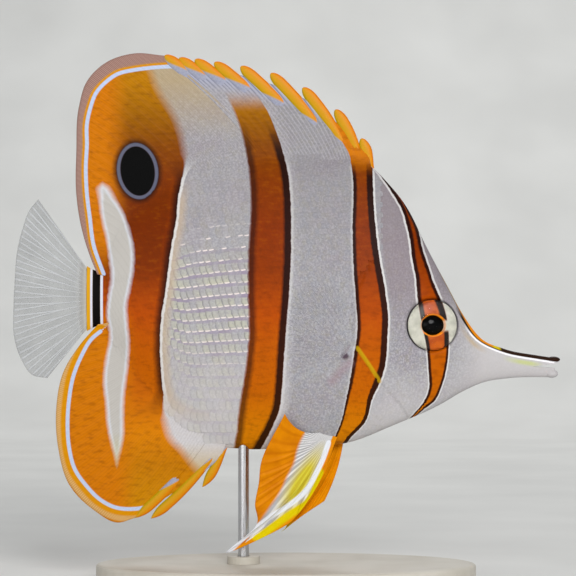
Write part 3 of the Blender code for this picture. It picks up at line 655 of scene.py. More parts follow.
# %% Skin material
def make_skin_material():
    material, tree, told = new_material("silvered_fish_skin", *MARKINGS, "stem", "forehead", "reach",
                                        "gill_mark", "eye_edge", "axil", "flush")
    colour = paint_markings(tree, told, head_colours(tree, told))
    for paint in (paint_false_eye, paint_axil, paint_stem, paint_head):
        colour = paint(tree, told, colour)
    # Painted shade: a thin dark line in the gap round the eye, behind its middle only.
    behind = node(tree, "MapRange", [told["reach"], 45, 42, 0.0, 0.8])
    rim = within(tree, told["eye_edge"], -0.3, -0.2, -0.05, 0.1)
    colour = coat(tree, colour, "#4A403E", rim, 0, 1, behind)
    return surface(material, told, colour, 0.45, 0.05)


skin_finish = make_skin_material()

# %% Skin mesh
SKIN_STATIONS = 340
SKIN_SIDES = 200
STATION_KNOTS = ([0.0, 0.12, 0.5, 1.0], [BODY_TAIL, -46.0, 18.0, BODY_SNOUT])
FLESH = ("head", "upper_jaw", "lower_jaw", "gill_cover_right", "gill_cover_left", "trunk", "tail_stem")
CHEEK_LINE = [(27.4, 7.0), (29.4, 0.0), (30.4, -10.0), (31.8, -19.5), (33.2, -26.6)]
NOSTRILS = [((50.0, -9.3), 0.5), ((48.2, -7.5), 0.38)]
GILL_FOLD = 0.45
CHEEK_FOLD = 0.14
SOCKET_DEPTH = 2.4
SOCKET_RIM = 0.12
NOSTRIL_DEPTH = 0.8


def sunk(x, z):
    """How far the skin lies under the body's plain form: folds at the gills, eyes and nostrils."""
    behind_gill = beside(GILL_EDGE, x, z)
    depth = GILL_FOLD * np.where(behind_gill > -0.1, np.exp(-np.maximum(behind_gill, 0) / 1.1), 0)
    depth = depth * step(13, 9, z)
    depth = depth + CHEEK_FOLD * np.exp(-(beside(CHEEK_LINE, x, z) / 0.5) ** 2) * step(8, 5, z)
    from_eye = np.hypot(x - EYE_AT[0], z - EYE_AT[2])
    depth = depth + SOCKET_DEPTH * step(EYE_RADIUS + 0.45, EYE_RADIUS - 0.5, from_eye)
    depth = depth - SOCKET_RIM * np.exp(-((from_eye - EYE_RADIUS - 1.1) / 0.6) ** 2)
    for (at_x, at_z), size in NOSTRILS:
        pit = np.hypot(x - at_x, z - at_z) / size
        depth = depth + NOSTRIL_DEPTH * size * step(1.1, 0.5, pit) - 0.1 * np.exp(-((pit - 1.4) / 0.3) ** 2)
    return depth


def skin_place(around, along, _):
    turn = 2 * np.pi * around
    turn = turn - EDGE_CROWDING * np.sin(2 * turn)
    x = smooth(*STATION_KNOTS, along)
    rise, out = np.sin(turn), np.cos(turn)
    widest, half_width, reach, flatness = section(x, rise > 0)
    z = widest + rise * reach
    half = half_width * np.abs(out) ** flatness
    half = np.maximum(half - sunk(x, z) * step(0.02, 0.2, np.abs(out)), 0.4 * half)
    return np.column_stack([x, np.copysign(half, out), z])


# %% Mouth
MOUTH_CORNER = (67.6, -18.1)
MOUTH_REACH = 80.0
MOUTH_EDGES = (-16.7, -19.1)
CORNER_GAP = 0.06
WEDGE_WIDTH = 8
LIPS = [("upper_lip", (73.1, 0, -16.35), (1.95, 1.7, 0.9)),
        ("lower_lip", (72.7, 0, -20.1), (1.75, 1.65, 1.2))]


def ball(radii, centre, segments, rings):
    """A ball with three radii whose poles lie along y, in the fish's millimetres."""
    bm = bmesh.new()
    bmesh.ops.create_uvsphere(bm, u_segments=segments, v_segments=rings, radius=1.0)
    bmesh.ops.rotate(bm, verts=bm.verts[:], matrix=Matrix.Rotation(math.pi / 2, 3, "X"))
    bmesh.ops.scale(bm, verts=bm.verts[:], vec=radii)
    bmesh.ops.translate(bm, verts=bm.verts[:], vec=centre)
    return bm


def mouth_wedge():
    """A block as deep as the mouth is open, to cut between the jaws."""
    bm = grid(1, 1, two_faced=True)
    (corner_x, corner_z), (high, low) = MOUTH_CORNER, MOUTH_EDGES

    def place(across, out, face):
        open_by = np.where(out > 0.5, high - low, CORNER_GAP)
        middle = np.where(out > 0.5, (high + low) / 2, corner_z)
        x = np.where(out > 0.5, MOUTH_REACH, corner_x)
        return np.column_stack([x, WEDGE_WIDTH * (across - 0.5), middle + open_by * (face - 0.5)])

    reshape(bm, place)
    bmesh.ops.recalc_face_normals(bm, faces=bm.faces[:])
    return object_from("mouth_wedge", bm)


def combined(obj, *steps):
    """Applies Boolean steps, each an operation and an object, which is then removed."""
    for operation, other in steps:
        modifier = obj.modifiers.new(other.name, "BOOLEAN")
        modifier.operation = operation
        modifier.object = other
        modifier.solver = "MANIFOLD"
    graph = bpy.context.evaluated_depsgraph_get()
    mesh = bpy.data.meshes.new_from_object(obj.evaluated_get(graph))
    obj.modifiers.clear()
    obj.data = mesh
    for _, other in steps:
        bpy.data.objects.remove(other)
    return obj


# %% Skin piece
def make_skin():
    bm = grid(SKIN_SIDES, SKIN_STATIONS)
    reshape(bm, skin_place)
    close_up(bm, 0.0005)
    skin = object_from("skin", bm)
    lips = [("UNION", object_from(name, ball(radii, centre, 32, 24))) for name, centre, radii in LIPS]
    combined(skin, ("DIFFERENCE", mouth_wedge()), *lips)
    return finish_piece(to_world(skin), skin_finish, FLESH)


skin = make_skin()

# %% [markdown]
# ## Scales
# A butterflyfish's scales are thin plates that overlap like roof tiles, taller than long on the
# rear flank and small and even behind the head. One scale is a small closed fan. Numbers carry it
# to every place in the rows, and its free edge stands less than a tenth of a millimetre proud. On the
# real fish the rows show more by colour than by relief, so the colour is told to each scale too.
# Part of that colour is painted light: shadow under each row's overlap and a highlight on each lower edge.

# %% Scale layout
SCALE_ROWS = [
    # name, x from, x to, spacing along, spacing up, how much bigger a scale is than its spacing
    ("rear", -46.0, -31.0, 1.5, 2.2, 1.75, 1.12),
    ("flank", -31.0, -4.6, 1.75, 3.15, 1.7, 1.08),
    ("shoulder", -4.6, 26.0, 1.15, 1.45, 1.7, 1.15),
]
SCALE_THICK = 0.035
SCALE_LIFT = 0.055
SCALE_CROWN = 0.01
SHINGLE = 0.018
SCALES_END = 0.97
SCALE_SEED = 7
BAKE_PATCH = 0.003
HIGHEST_ROW = 46
# How much of its colour a scale takes at each vertex's own place, the rest being at its root
OWN_SHARE = 0.93


def scale_fan():
    """One scale's places, across from -1 to 1, along from 0 to 1 and which face, and its faces."""
    bm = grid(4, 3, two_faced=True)
    bm.verts.ensure_lookup_table()
    places = np.array([vert.co for vert in bm.verts])
    bmesh.ops.recalc_face_normals(bm, faces=bm.faces[:])
    faces = [[vert.index for vert in face.verts] for face in bm.faces]
    bm.free()
    return np.column_stack([2 * places[:, 0] - 1, places[:, 1], places[:, 2]]), faces


FAN, FAN_FACES = scale_fan()


def scale_roots(low_x, high_x, pitch_x, pitch_z):
    """Places of the scales' roots in rows that droop a little and draw together to the tail."""
    roots = []
    for row in range(int(-HIGHEST_ROW / pitch_z), int(HIGHEST_ROW / pitch_z)):
        for column in range(int((high_x - low_x) / pitch_x) + 1):
            x = high_x - pitch_x * (column + 0.5 * (row % 2))
            z = row * pitch_z
            droop = 0.1 * float(step(-24, 0, z)) * (max(x, -30) + 14) * float(step(-4, -14, x))
            droop += 0.3 * max(-26.5 - x, 0) * float(step(13, 3, z))
            narrowing = 1 - 0.012 * max(-24 - x, 0) ** 1.15
            roots.append((x, z * narrowing + droop))
    return np.array(roots)


def up_flank(x, z):
    """Share of the way from the body's widest level up to its back, or below 0 down to its belly."""
    widest = level(WIDEST_LEVEL, x)
    return (z - widest) / np.where(z > widest, level(BACK, x) - widest, widest - level(BELLY, x))


def on_flank(x, z):
    """True where scales stand: inside the body's outline and behind the gill cover."""
    return (np.abs(up_flank(x, z)) < SCALES_END) & (beside(GILL_EDGE, x, z) > 0.6)


def scale_mesh(name, roots, pitch_x, pitch_z, longer, wider, side, random):
    """All the scales of one stretch as one mesh, with each vertex's place on the side view."""
    count = len(roots)
    across, along, face = FAN.T
    root_x, root_z = roots[:, :1], roots[:, 1:] + random.normal(0, 0.03, (count, 1))
    tilt = random.normal(0, 0.03, (count, 1)) - 0.006 * root_z
    fan_along = pitch_x * longer * (along - 0.24 * along * across ** 2) - 0.3 * pitch_x
    rounding = 0.62 + 0.38 * np.sin(np.minimum(along / 0.6, 1) * np.pi / 2)
    fan_across = pitch_z * wider / 2 * across * rounding
    x = (root_x - np.cos(tilt) * fan_along + np.sin(tilt) * fan_across).ravel()
    z = (root_z + np.cos(tilt) * fan_across + np.sin(tilt) * fan_along).ravel()
    fade = step(44, 30, root_z) * step(-44, -32, root_z) * (0.5 + 0.5 * step(-44, -30, root_x))
    lift = SCALE_LIFT * (0.3 + 0.7 * fade) * (along - 0.35) - SCALE_CROWN * across ** 2
    lift = lift - SHINGLE * across - SCALE_THICK * (face < 0.5)
    outermost = np.maximum(step(0.88, SCALES_END, np.abs(up_flank(*roots.T))), step(36, 38.5, roots[:, 1]))
    lift = lift - SKIN_SINK / 2 * outermost[:, None]
    y = side * (outer(x, z) + SKIN_SINK / 2 + np.broadcast_to(lift, (count, len(FAN))).ravel())
    mesh = bpy.data.meshes.new(name)
    faces = [[i + s for i in corners] for s in len(FAN) * np.arange(count) for corners in FAN_FACES]
    mesh.from_pydata(np.column_stack([x, y, z]).tolist(), [], faces)
    if side < 0:
        mesh.flip_normals()
    return mesh, x, z


def scale_numbers(roots, x, z, pitch_z, random):
    """What each scale's shader reads: markings, where on the scale it is, its row's strength and its
    painted highlight.
    """
    each = len(FAN)
    root_x, root_z = np.repeat(roots, each, axis=0).T
    told = markings(*[OWN_SHARE * own + (1 - OWN_SHARE) * root for own, root in ((x, root_x), (z, root_z))])
    told["scale_across"] = np.tile(FAN[:, 0], len(roots))
    told["scale_along"] = np.tile(FAN[:, 1], len(roots))
    told["tone"] = np.repeat(random.uniform(0, 1, len(roots)), each)
    tall = step(1.8, 2.6, np.full(len(x), pitch_z)) * step(-35, -29, root_x)
    told["rows"] = tall * step(17, 7, root_z) * (0.3 + 0.7 * step(-24, -6, root_z))
    # Painted highlight: a bright dash on the lower edge of scales chosen at random on the rear flank.
    bright = np.repeat(step(0.15, 0.8, random.uniform(0, 1, len(roots))), each)
    bright = bright * step(25, 17, root_z) + step(14, 2, root_z) * (1 - bright) * 0.7
    told["dashes"] = tall * bright * step(-22, -6, root_z) * step(-33, -24, root_x)
    return told


def scale_piece(name, side, low_x, high_x, pitch_x, pitch_z, longer, wider):
    """All the scales of one stretch of a flank as one piece."""
    random = np.random.default_rng(SCALE_SEED)
    roots = scale_roots(low_x, high_x, pitch_x, pitch_z)
    roots = roots[on_flank(*roots.T)]
    mesh, x, z = scale_mesh(name, roots, pitch_x, pitch_z, longer, wider, side, random)
    store(mesh, scale_numbers(roots, x, z, pitch_z, random))
    unwrap(mesh, roots, side)
    mesh.transform(TO_WORLD)
    return finish_piece(add_object(name, mesh), scale_finish, sharp=35)


def unwrap(mesh, roots, side):
    """A bake map: each scale is a small patch at its root's place on the skin's own unrolled sheet."""
    turn = np.arcsin(np.clip(up_flank(*roots.T), -1, 1)) / (2 * np.pi)
    around = 0.25 + turn if side > 0 else 0.75 - turn
    along = (roots[:, 0] - BODY_TAIL) / (BODY_SNOUT - BODY_TAIL)
    centre = np.column_stack([along, around])
    patch = np.column_stack([FAN[:, 1] - 0.5, 0.5 * FAN[:, 0]]) * BAKE_PATCH
    places = (centre[:, None, :] + patch[None, :, :]).reshape(-1, 2)
    corners = np.empty(len(mesh.loops), np.int32)
    mesh.loops.foreach_get("vertex_index", corners)
    layer = mesh.uv_layers.new(name="OFBake")
    layer.data.foreach_set("uv", places[corners].astype(np.float32).ravel())


# %% Scale material
def make_scale_material():
    """Pearly scales: on the rear flank cream below and mauve above, the mauve partly painted shadow, with a
    painted highlight along the lower edge.
    """
    material, tree, told = new_material("pearly_scales", *MARKINGS, "scale_across", "scale_along", "tone",
                                        "rows", "dashes", "axil", "flush")
    across, along, height = told["scale_across"], told["scale_along"], told["height"]
    cells = profile(tree, told["tone"], [(0.0, "#AEA8AE"), (0.3, "#A6A296"), (0.6, "#989CA6"),
                                         (1.0, "#B6B0B4")])
    # The mauve upper part is partly the scales' own tint and partly painted shadow under the overlapping
    # row above.
    banded = profile(tree, across, [(-0.85, "#BDBBA6"), (0.25, "#B6B5A8"), (0.42, "#92849A"),
                                    (1.0, "#9C8EA2")])
    banded = coat(tree, banded, "#A09CA8", told["tone"], 0.45, 0.9, 0.5)
    # Painted shade: dark slits at the rear end of each scale, in its cream part.
    slit = coats(tree, banded, ("#70706E", along, 0.8, 0.97, 0.7), (banded, across, 0.1, 0.4),
                 ("#86828E", lumps(tree, told, 0.7), 0.5, 0.7, 0.5))
    patchy = node(tree, "MapRange", [lumps(tree, told, 4.0), 0.38, 0.58, 0.4, 1.0])
    patchy = node(tree, "Math", [patchy, told["rows"]], operation="MULTIPLY")
    # Painted highlight: a bright dash along the lower edge of some scales.
    dotted = within(tree, along, 0.2, 0.4, 0.8, 0.95)
    dotted = node(tree, "Math", [dotted, told["dashes"]], operation="MULTIPLY")
    dash = node(tree, "MapRange", [across, -0.72, -0.9, 0.0, dotted])
    beside_band = within(tree, height, -34, -26, 27, 33)
    warm = node(tree, "MapRange", [told["rear_band"], -3.2, -1.4, 0.0, beside_band])
    colour = coats(tree, flank_colours(tree, told), (cells, height, 38, 30, 0.2),
                   (slit, patchy, 0, 1, 0.85), ("#F2E4E0", dash, 0, 1, 0.9),
                   ("#BFA88C", warm, 0, 1, 0.6))
    # Painted shade: a faint dark rim along each scale's free edge.
    colour = coat(tree, paint_markings(tree, told, colour), "#3A1A0A", along, 0.84, 1.0, 0.08)
    colour = paint_axil(tree, told, paint_false_eye(tree, told, colour))
    return surface(material, told, colour, 0.42, 0.05)


scale_finish = make_scale_material()

# %% Scales
SIDES = ((-1, "right"), (1, "left"))
for side, word in SIDES:
    for name, *layout in SCALE_ROWS:
        scale_piece(f"scales_{name}_{word}", side, *layout)

# %% [markdown]
# ## Fins
# A fin is a web of skin between rays. Each one here is a two-faced sheet whose columns follow the
# rays, so a ray stands out as a ridge in both faces, splits in two towards the edge as soft rays
# do, and the web thins between them.

# %% Fin sheets
RAY_HALF = 0.11
RAY_PARTING = 0.25


def in_space(place):
    """A place in space. One given as x and z alone lies in the fish's middle plane."""
    return np.array(place if len(place) == 3 else (place[0], 0, place[1]), float)


def key_rays(keys):
    """Key rays as arrays of roots and tips, with how far along the fin's edge each one is."""
    roots, tips = [np.array([in_space(place) for place in ends]) for ends in zip(*keys)]
    steps = np.linalg.norm(np.diff(tips, axis=0), axis=1)
    return roots, tips, np.concatenate([[0], np.cumsum(steps)]) / steps.sum()


def fin_sheet(name, keys, gaps, columns_a_gap, rows, bow=0.0, root_half=0.9, web=0.13, ridge=0.12,
              sink=6.0, even=False, sway=None, split_from=0.45, median=False):
    """A fin as a two-faced sheet with its rays raised, and each vertex told where it is on it.

    A median fin stands in the fish's middle plane, and its root swells to meet the flank.
    """
    roots, tips, knots = key_rays(keys)
    if even:
        knots = np.linspace(0, 1, len(keys))
    bows = np.broadcast_to(np.asarray(bow, float), (len(keys),))
    told = {}

    def place(across, out, face):
        root, tip = smooth(knots, roots, across), smooth(knots, tips, across)
        run = tip - root
        start = np.minimum(sink / np.linalg.norm(run, axis=1), 0.4)
        share = out * (1 + start) - start
        side = np.column_stack([-run[:, 2], np.zeros(len(out)), run[:, 0]])
        bend = (smooth(knots, bows, across) * 4 * share * (1 - share))[:, None]
        places = root + run * share[:, None] + side * bend
        if sway:
            places = places + sway(places, across, np.maximum(share, 0))
        phase = np.abs((gaps * across + 0.5) % 1 - 0.5)
        parting = RAY_PARTING * step(split_from, 1.0, out)
        crest = np.exp(-((phase - parting) / RAY_HALF) ** 2)
        raised = ridge * crest * np.minimum(1, 3 * np.maximum(share, 0))
        if median:
            from_root = share * np.linalg.norm(run, axis=1)
            half = outer(places[:, 0], places[:, 2]) - 0.12 * step(2.0, -2.0, from_root)
            raised = raised * step(0.2, 1.4, spot_edge(places[:, 0], places[:, 2]))
        else:
            half = web + root_half * (1 - out) ** 1.6
        half = half + raised
        half = half * np.where(out > 0.985, 0.35, 1.0)
        places[:, 1] += np.where(face > 0.5, half, -half)
        told.update(ray=crest, out=out, across=across)
        return places

    bm = grid(gaps * columns_a_gap, rows, two_faced=True)
    reshape(bm, place)
    bmesh.ops.recalc_face_normals(bm, faces=bm.faces[:])
    obj = object_from(name, bm)
    store(obj.data, told)
    return obj


# %% Fin materials
def fine_lines(tree, told, count, slant=0.0):
    """Fine lines along the rays, from 0 between lines to 1 on them, slanted across the margin."""
    turned = node(tree, "Math", [told["fin_line"], slant, 0.0], operation="MULTIPLY_ADD")
    turned = node(tree, "Math", [told["across"], 2 * math.pi * count, turned], operation="MULTIPLY_ADD")
    return node(tree, "Math", [turned], operation="SINE")


def paint_margin(tree, told, colour, count):
    """The blue line along a tall fin and the margin outside it, golden below and mauve above."""
    at = told["fin_line"]
    lines = fine_lines(tree, told, count, 1.2)
    mauve = coat(tree, "#86665A", "#A6847A", lines, -0.8, 0.8)
    tan = coat(tree, "#BE8E4C", "#D0A468", lines, -0.8, 0.8)
    golden = coats(tree, "#CC8600", (tan, at, 1.6, 2.1), ("#C87A10", at, 3.1, 3.6))
    golden_above = coat(tree, "#C88600", mauve, at, 0.9, 1.4)
    margin = coat(tree, golden, golden_above, told["height"], -2, 2)
    line = within(tree, at, -0.65, -0.42, 0.38, 0.58)
    return coats(tree, colour, (margin, at, 0.3, 0.5), ("#B4C0DA", line, 0, 1))


def make_fin_material(name, count):
    """Scaled fin skin: the flank's own markings, with rays showing as fine lines."""
    material, tree, told = new_material(name, *MARKINGS, "fin_line", "across")
    base = coat(tree, flank_colours(tree, told), "#B09A70", told["height"], 44, 60, 0.75)
    lines = fine_lines(tree, told, count)
    colour = coat(tree, paint_markings(tree, told, base), "#4A2808", lines, 0.2, 1.0, 0.1)
    colour = paint_margin(tree, told, paint_false_eye(tree, told, colour), count * 1.5)
    return surface(material, told, colour, 0.45, 0.05)


def make_sheath_material():
    """The scaly sheath over the spines: flank colours below, a thin grey-blue film above."""
    material, tree, told = new_material("spine_sheath_skin", *MARKINGS, "out", "across", "fin_line")
    lines = fine_lines(tree, told, 36)
    film = coat(tree, "#A2A4B6", "#6E7084", lines, 0.1, -0.9, 0.8)
    colour = coats(tree, flank_colours(tree, told), ("#C2C0C4", lines, 0.2, 1.0, 0.25),
                   (film, told["out"], 0.7, 0.86))
    return surface(material, told, paint_markings(tree, told, colour), 0.45, 0.05)


# %% Dorsal and anal fins
sheath_finish = make_sheath_material()
DORSAL_RAYS = 29
DORSAL_KEYS = [
    ((-4.6, 38.7), (-33.2, 66.9)), ((-12.4, 38.6), (-41.6, 67.5)), ((-19.5, 37.6), (-49.3, 65.0)),
    ((-25.5, 35.3), (-54.6, 59.7)), ((-31.0, 32.4), (-56.7, 52.8)), ((-37.8, 26.7), (-57.4, 40.5)),
    ((-43.2, 20.6), (-57.4, 29.0)), ((-46.4, 15.4), (-56.1, 20.3)), ((-48.8, 10.8), (-53.5, 11.6)),
    ((-49.2, 6.6), (-51.6, 7.0)),
]
DORSAL_SPINES = [
    ((23.3, 35.5), (20.6, 44.2)), ((20.9, 37.0), (13.5, 52.1)), ((18.0, 38.0), (4.6, 58.1)),
    ((14.6, 38.6), (-4.2, 62.0)), ((10.6, 39.0), (-12.4, 63.9)), ((6.4, 39.2), (-19.6, 65.0)),
    ((2.4, 39.2), (-24.9, 65.8)), ((-1.4, 39.0), (-29.2, 66.2)), ((-4.6, 38.7), (-33.2, 66.9)),
]
DORSAL_WEB_EDGE = [(22.6, 39.4), (19.6, 42.4), (13.8, 48.6), (6.2, 54.4), (-2.6, 58.6),
                   (-10.4, 61.0), (-17.8, 63.0), (-23.6, 64.2), (-29.8, 64.8)]
DORSAL_BOW = -0.035
ANAL_RAYS = 20
ANAL_KEYS = [
    ((-21.4, -38.4), (-41.2, -59.6)), ((-25.6, -36.6), (-46.1, -60.9)),
    ((-30.4, -32.6), (-52.6, -57.5)), ((-34.4, -28.4), (-59.3, -50.6)),
    ((-38.4, -23.6), (-62.4, -40.2)), ((-41.8, -18.8), (-62.9, -30.0)),
    ((-44.8, -14.6), (-60.9, -19.6)), ((-47.6, -11.2), (-56.2, -12.0)),
    ((-48.8, -6.2), (-51.4, -6.6)),
]
ANAL_SPINES = [((-16.6, -39.8), (-22.9, -51.2)), ((-17.6, -39.6), (-37.0, -59.8)),
               ((-21.4, -38.4), (-41.2, -59.6))]
ANAL_WEB_EDGE = [(-18.4, -43.6), (-24.6, -48.6), (-36.4, -56.2)]
ANAL_BOW = 0.035

for name, keys, rays, bow, replaced in (
    ("dorsal_fin", DORSAL_KEYS, DORSAL_RAYS, DORSAL_BOW, "dorsal_fin_soft"),
    ("anal_fin", ANAL_KEYS, ANAL_RAYS, ANAL_BOW, "anal_fin_soft"),
):
    fin = fin_sheet(name, keys, rays - 1, 8, 56, bow=bow, median=True)
    finish = make_fin_material(f"scaled_{name}_skin", 4 * rays)
    finish_piece(to_world(fin, on_fin=True), finish, [replaced])

# %% [markdown]
# ## Spines
# The front of each tall fin is held up by hard spines, flat blades of bone under golden skin. The
# web hides each blade's shaft and is notched behind its rounded tip. A blade is a grid rolled into
# a tube along a bowed line, thin where the web covers it.

# %% Spine material
# Spine blades: width, the length that the tip tapers over, and how pointed it is, 0.5 being round
DORSAL_BLADE = (3.3, 4.0, 0.5)
ANAL_BLADE = (2.7, 5.0, 0.9)
# How far up each spine its golden skin starts
DORSAL_GOLD = [0.0, 0.0, 0.12, 0.3, 0.48, 0.62, 0.68, 0.72, 0.74]
ANAL_GOLD = [0.0, 0.05, 0.4]
SPINE_THICK = 1.25
WEB_OVERLAP = 2.0


def make_spine_material():
    """Golden skin, orange in front and greener behind, narrowing downwards into grey film."""
    material, tree, told = new_material("golden_spine_skin", "gold", "leading")
    gold = coats(tree, "#C88E00", ("#D67A00", told["leading"], 0.0, 0.8),
                 ("#8C9400", told["leading"], -0.3, -0.95, 0.55))
    film = coat(tree, "#8E90A4", "#9EA0B0", lumps(tree, told, 0.5), 0.3, 0.7)
    return surface(material, told, coat(tree, film, gold, told["gold"], -0.15, 0.15), 0.42, 0.15)


spine_finish = make_spine_material()


# %% Spine blades
def spine_blade(root, tip, bow, blade, gold_from, sides=16, rings=32):
    """A flat blade along a bowed line, hidden in the web below where its golden skin starts."""
    root, tip = in_space(root), in_space(tip)
    run = tip - root
    side = np.array([-run[2], 0, run[0]])
    length = np.linalg.norm(run)
    width, taper, sharpness = blade
    told = {}

    def middle(out):
        bend = (bow * 4 * out * (1 - out))[:, None]
        return root + run * out[:, None] + side * bend

    def place(around, along, _):
        turn = 2 * np.pi * around
        out = 1 - (1 - along) ** 1.5
        heading = middle(out + 0.01) - middle(out - 0.01)
        edge = np.column_stack([-heading[:, 2], np.zeros(len(out)), heading[:, 0]])
        edge /= np.linalg.norm(edge, axis=1)[:, None]
        near_tip = np.clip(1 - (1 - out) * length / taper, 0, 0.99)
        wide = width / 2 * (0.55 + 0.45 * step(0.0, 0.7, out)) * (1 - near_tip ** 2) ** sharpness
        places = middle(out) + edge * (wide * np.cos(turn))[:, None]
        bare = step(gold_from, gold_from + 0.15, out)
        thick = SPINE_THICK / 2 * (0.12 + 0.88 * bare) * (1 - 0.5 * near_tip ** 2)
        places[:, 1] += thick * np.sin(turn)
        leading = np.cos(turn) * np.sign(bow)
        told.update(leading=leading, gold=leading + 2.3 * np.clip((out - gold_from) / 0.3, 0, 1) - 1)
        return places

    bm = grid(sides, rings)
    reshape(bm, place)
    for name, numbers in told.items():
        layer = bm.verts.layers.float.new(name)
        for vert, number in zip(bm.verts, numbers):
            vert[layer] = number
    close_up(bm, 0.001)
    return bm


def spiny_part(name, spines, web_edge, bow, blade_form, gold, replaced):
    """The web and the blades of a fin's front, the blades as one mesh."""
    keys = [(root, edge) for (root, _), edge in zip(spines, web_edge)]
    (root_x, root_z), (edge_x, edge_z) = keys[-1]
    keys.append(((root_x - WEB_OVERLAP, root_z), (edge_x - WEB_OVERLAP, edge_z)))
    web = fin_sheet(name + "_web", keys, len(keys) - 1, 12, 40, bow=bow, ridge=0.08, median=True,
                    split_from=2.0, even=True)
    finish_piece(to_world(web), sheath_finish)
    whole = bmesh.new()
    holder = bpy.data.meshes.new("blade")
    for (root, tip), gold_from in zip(spines, gold):
        blade = spine_blade(root, tip, bow, blade_form, gold_from)
        blade.to_mesh(holder)
        blade.free()
        whole.from_mesh(holder)
    bpy.data.meshes.remove(holder)
    blades = to_world(object_from(name + "_spines", whole), marked=False)
    finish_piece(blades, spine_finish, [replaced])


spiny_part("dorsal", DORSAL_SPINES, DORSAL_WEB_EDGE, DORSAL_BOW, DORSAL_BLADE, DORSAL_GOLD,
           "dorsal_fin_spiny")
spiny_part("anal", ANAL_SPINES, ANAL_WEB_EDGE, ANAL_BOW, ANAL_BLADE, ANAL_GOLD, "anal_fin_spiny")

# %% [markdown]
# ## Clear fins
# The tail fin and the pectorals are thin clear film on fine bony rays. Alpha lets the backdrop
# through the film while each ray stays milky, as light scatters in bone and not in the film.

# %% Clear fin material
def make_clear_material(name, film, film_alpha, bone, bone_alpha, root):
    material, tree, told = new_material(name, "ray", "out")
    bony = node(tree, "MapRange", [told["ray"], 0.4, 0.85])
    colour = coats(tree, film, (bone, bony, 0, 1), (root, told["out"], 0.16, 0.04, 0.8))
    seen = node(tree, "MapRange", [bony, 0, 1, film_alpha, bone_alpha])
    cloud = 0.15 * film_alpha
    cloud = node(tree, "MapRange", [lumps(tree, told, 6.0), 0.35, 0.65, -cloud, cloud])
    seen = node(tree, "Math", [seen, cloud], operation="ADD")
    rooted = node(tree, "MapRange", [told["out"], 0.16, 0.03])
    seen = node(tree, "Math", [seen, rooted], operation="MAXIMUM")
    return surface(dress(material, Alpha=seen), told, colour, 0.35, 0.3)


tail_finish = make_clear_material("cloudy_tail_film", "#848688", 0.26, "#BEC0C2", 0.6, "#B0ACA4")
pectoral_finish = make_clear_material("clear_pectoral_film", "#B0B2B8", 0.0, "#6A6C74", 0.13, "#A8949A")

# %% Tail fin
TAIL_RAYS = 17
TAIL_PLEATS = 4
TAIL_KEYS = [
    ((-54.8, 9.0), (-67.9, 27.6)), ((-54.8, 7.6), (-70.4, 24.6)), ((-54.8, 6.0), (-72.2, 19.6)),
    ((-54.8, 4.0), (-73.9, 12.6)), ((-54.8, 1.8), (-74.4, 5.0)), ((-54.8, -0.4), (-74.8, -2.6)),
    ((-54.8, -2.8), (-74.6, -9.8)), ((-54.8, -5.0), (-72.8, -16.0)), ((-54.8, -6.8), (-69.4, -20.6)),
    ((-54.8, -8.2), (-65.4, -21.4)),
]
TAIL_SWAY = math.tan(math.radians(4))
TAIL_PLEAT = 0.35


def tail_sway(places, across, share):
    pleat = np.sin(2 * np.pi * TAIL_PLEATS * across) * TAIL_PLEAT * share
    sideways = (TAIL_KEYS[0][0][0] - places[:, 0]) * TAIL_SWAY + pleat
    return np.column_stack([0 * across, sideways, 0 * across])


tail = fin_sheet("tail_fin_web", TAIL_KEYS, TAIL_RAYS - 1, 10, 40, web=0.09, sink=0.4,
                 sway=tail_sway, split_from=0.2)
finish_piece(to_world(tail, marked=False), tail_finish, ["tail_fin"])

# %% Pectoral fins
PECTORAL_RAYS = 14
PECTORAL_ROOT = [(17.4, -12.0), (14.6, -15.8)]
PECTORAL_FAN = [(102, 15.5), (116, 19.0), (130, 20.0), (144, 18.8), (158, 16.0), (172, 13.0),
                (188, 10.4)]
PECTORAL_SPLAY = math.radians(17)


def pectoral_keys(side):
    keys = []
    for i, (angle, length) in enumerate(PECTORAL_FAN):
        down = i / (len(PECTORAL_FAN) - 1)
        (x0, z0), (x1, z1) = PECTORAL_ROOT
        x, z = x0 + (x1 - x0) * down, z0 + (z1 - z0) * down
        root = np.array([x, side * float(flank(np.array([x]), np.array([z]))[0]), z])
        turn = math.radians(angle)
        run = np.array([math.cos(turn), side * math.sin(PECTORAL_SPLAY), math.sin(turn)])
        keys.append((tuple(root), tuple(root + run * length)))
    return keys


for side, word in SIDES:
    fin = fin_sheet(f"pectoral_web_{word}", pectoral_keys(side), PECTORAL_RAYS - 1, 8, 32, bow=-0.03,
                    root_half=0.2, web=0.08, ridge=0.1, sink=2.0, split_from=0.3)
    finish_piece(to_world(fin, marked=False), pectoral_finish, [f"pectoral_fin_{word}"])

# %% [markdown]
# ## Pelvic fins
# Each pelvic fin is one strong spine and five soft rays, folded like a fan. The near one shows an
# orange rear lobe, a white middle and a bright white leading ray with a yellow edge.

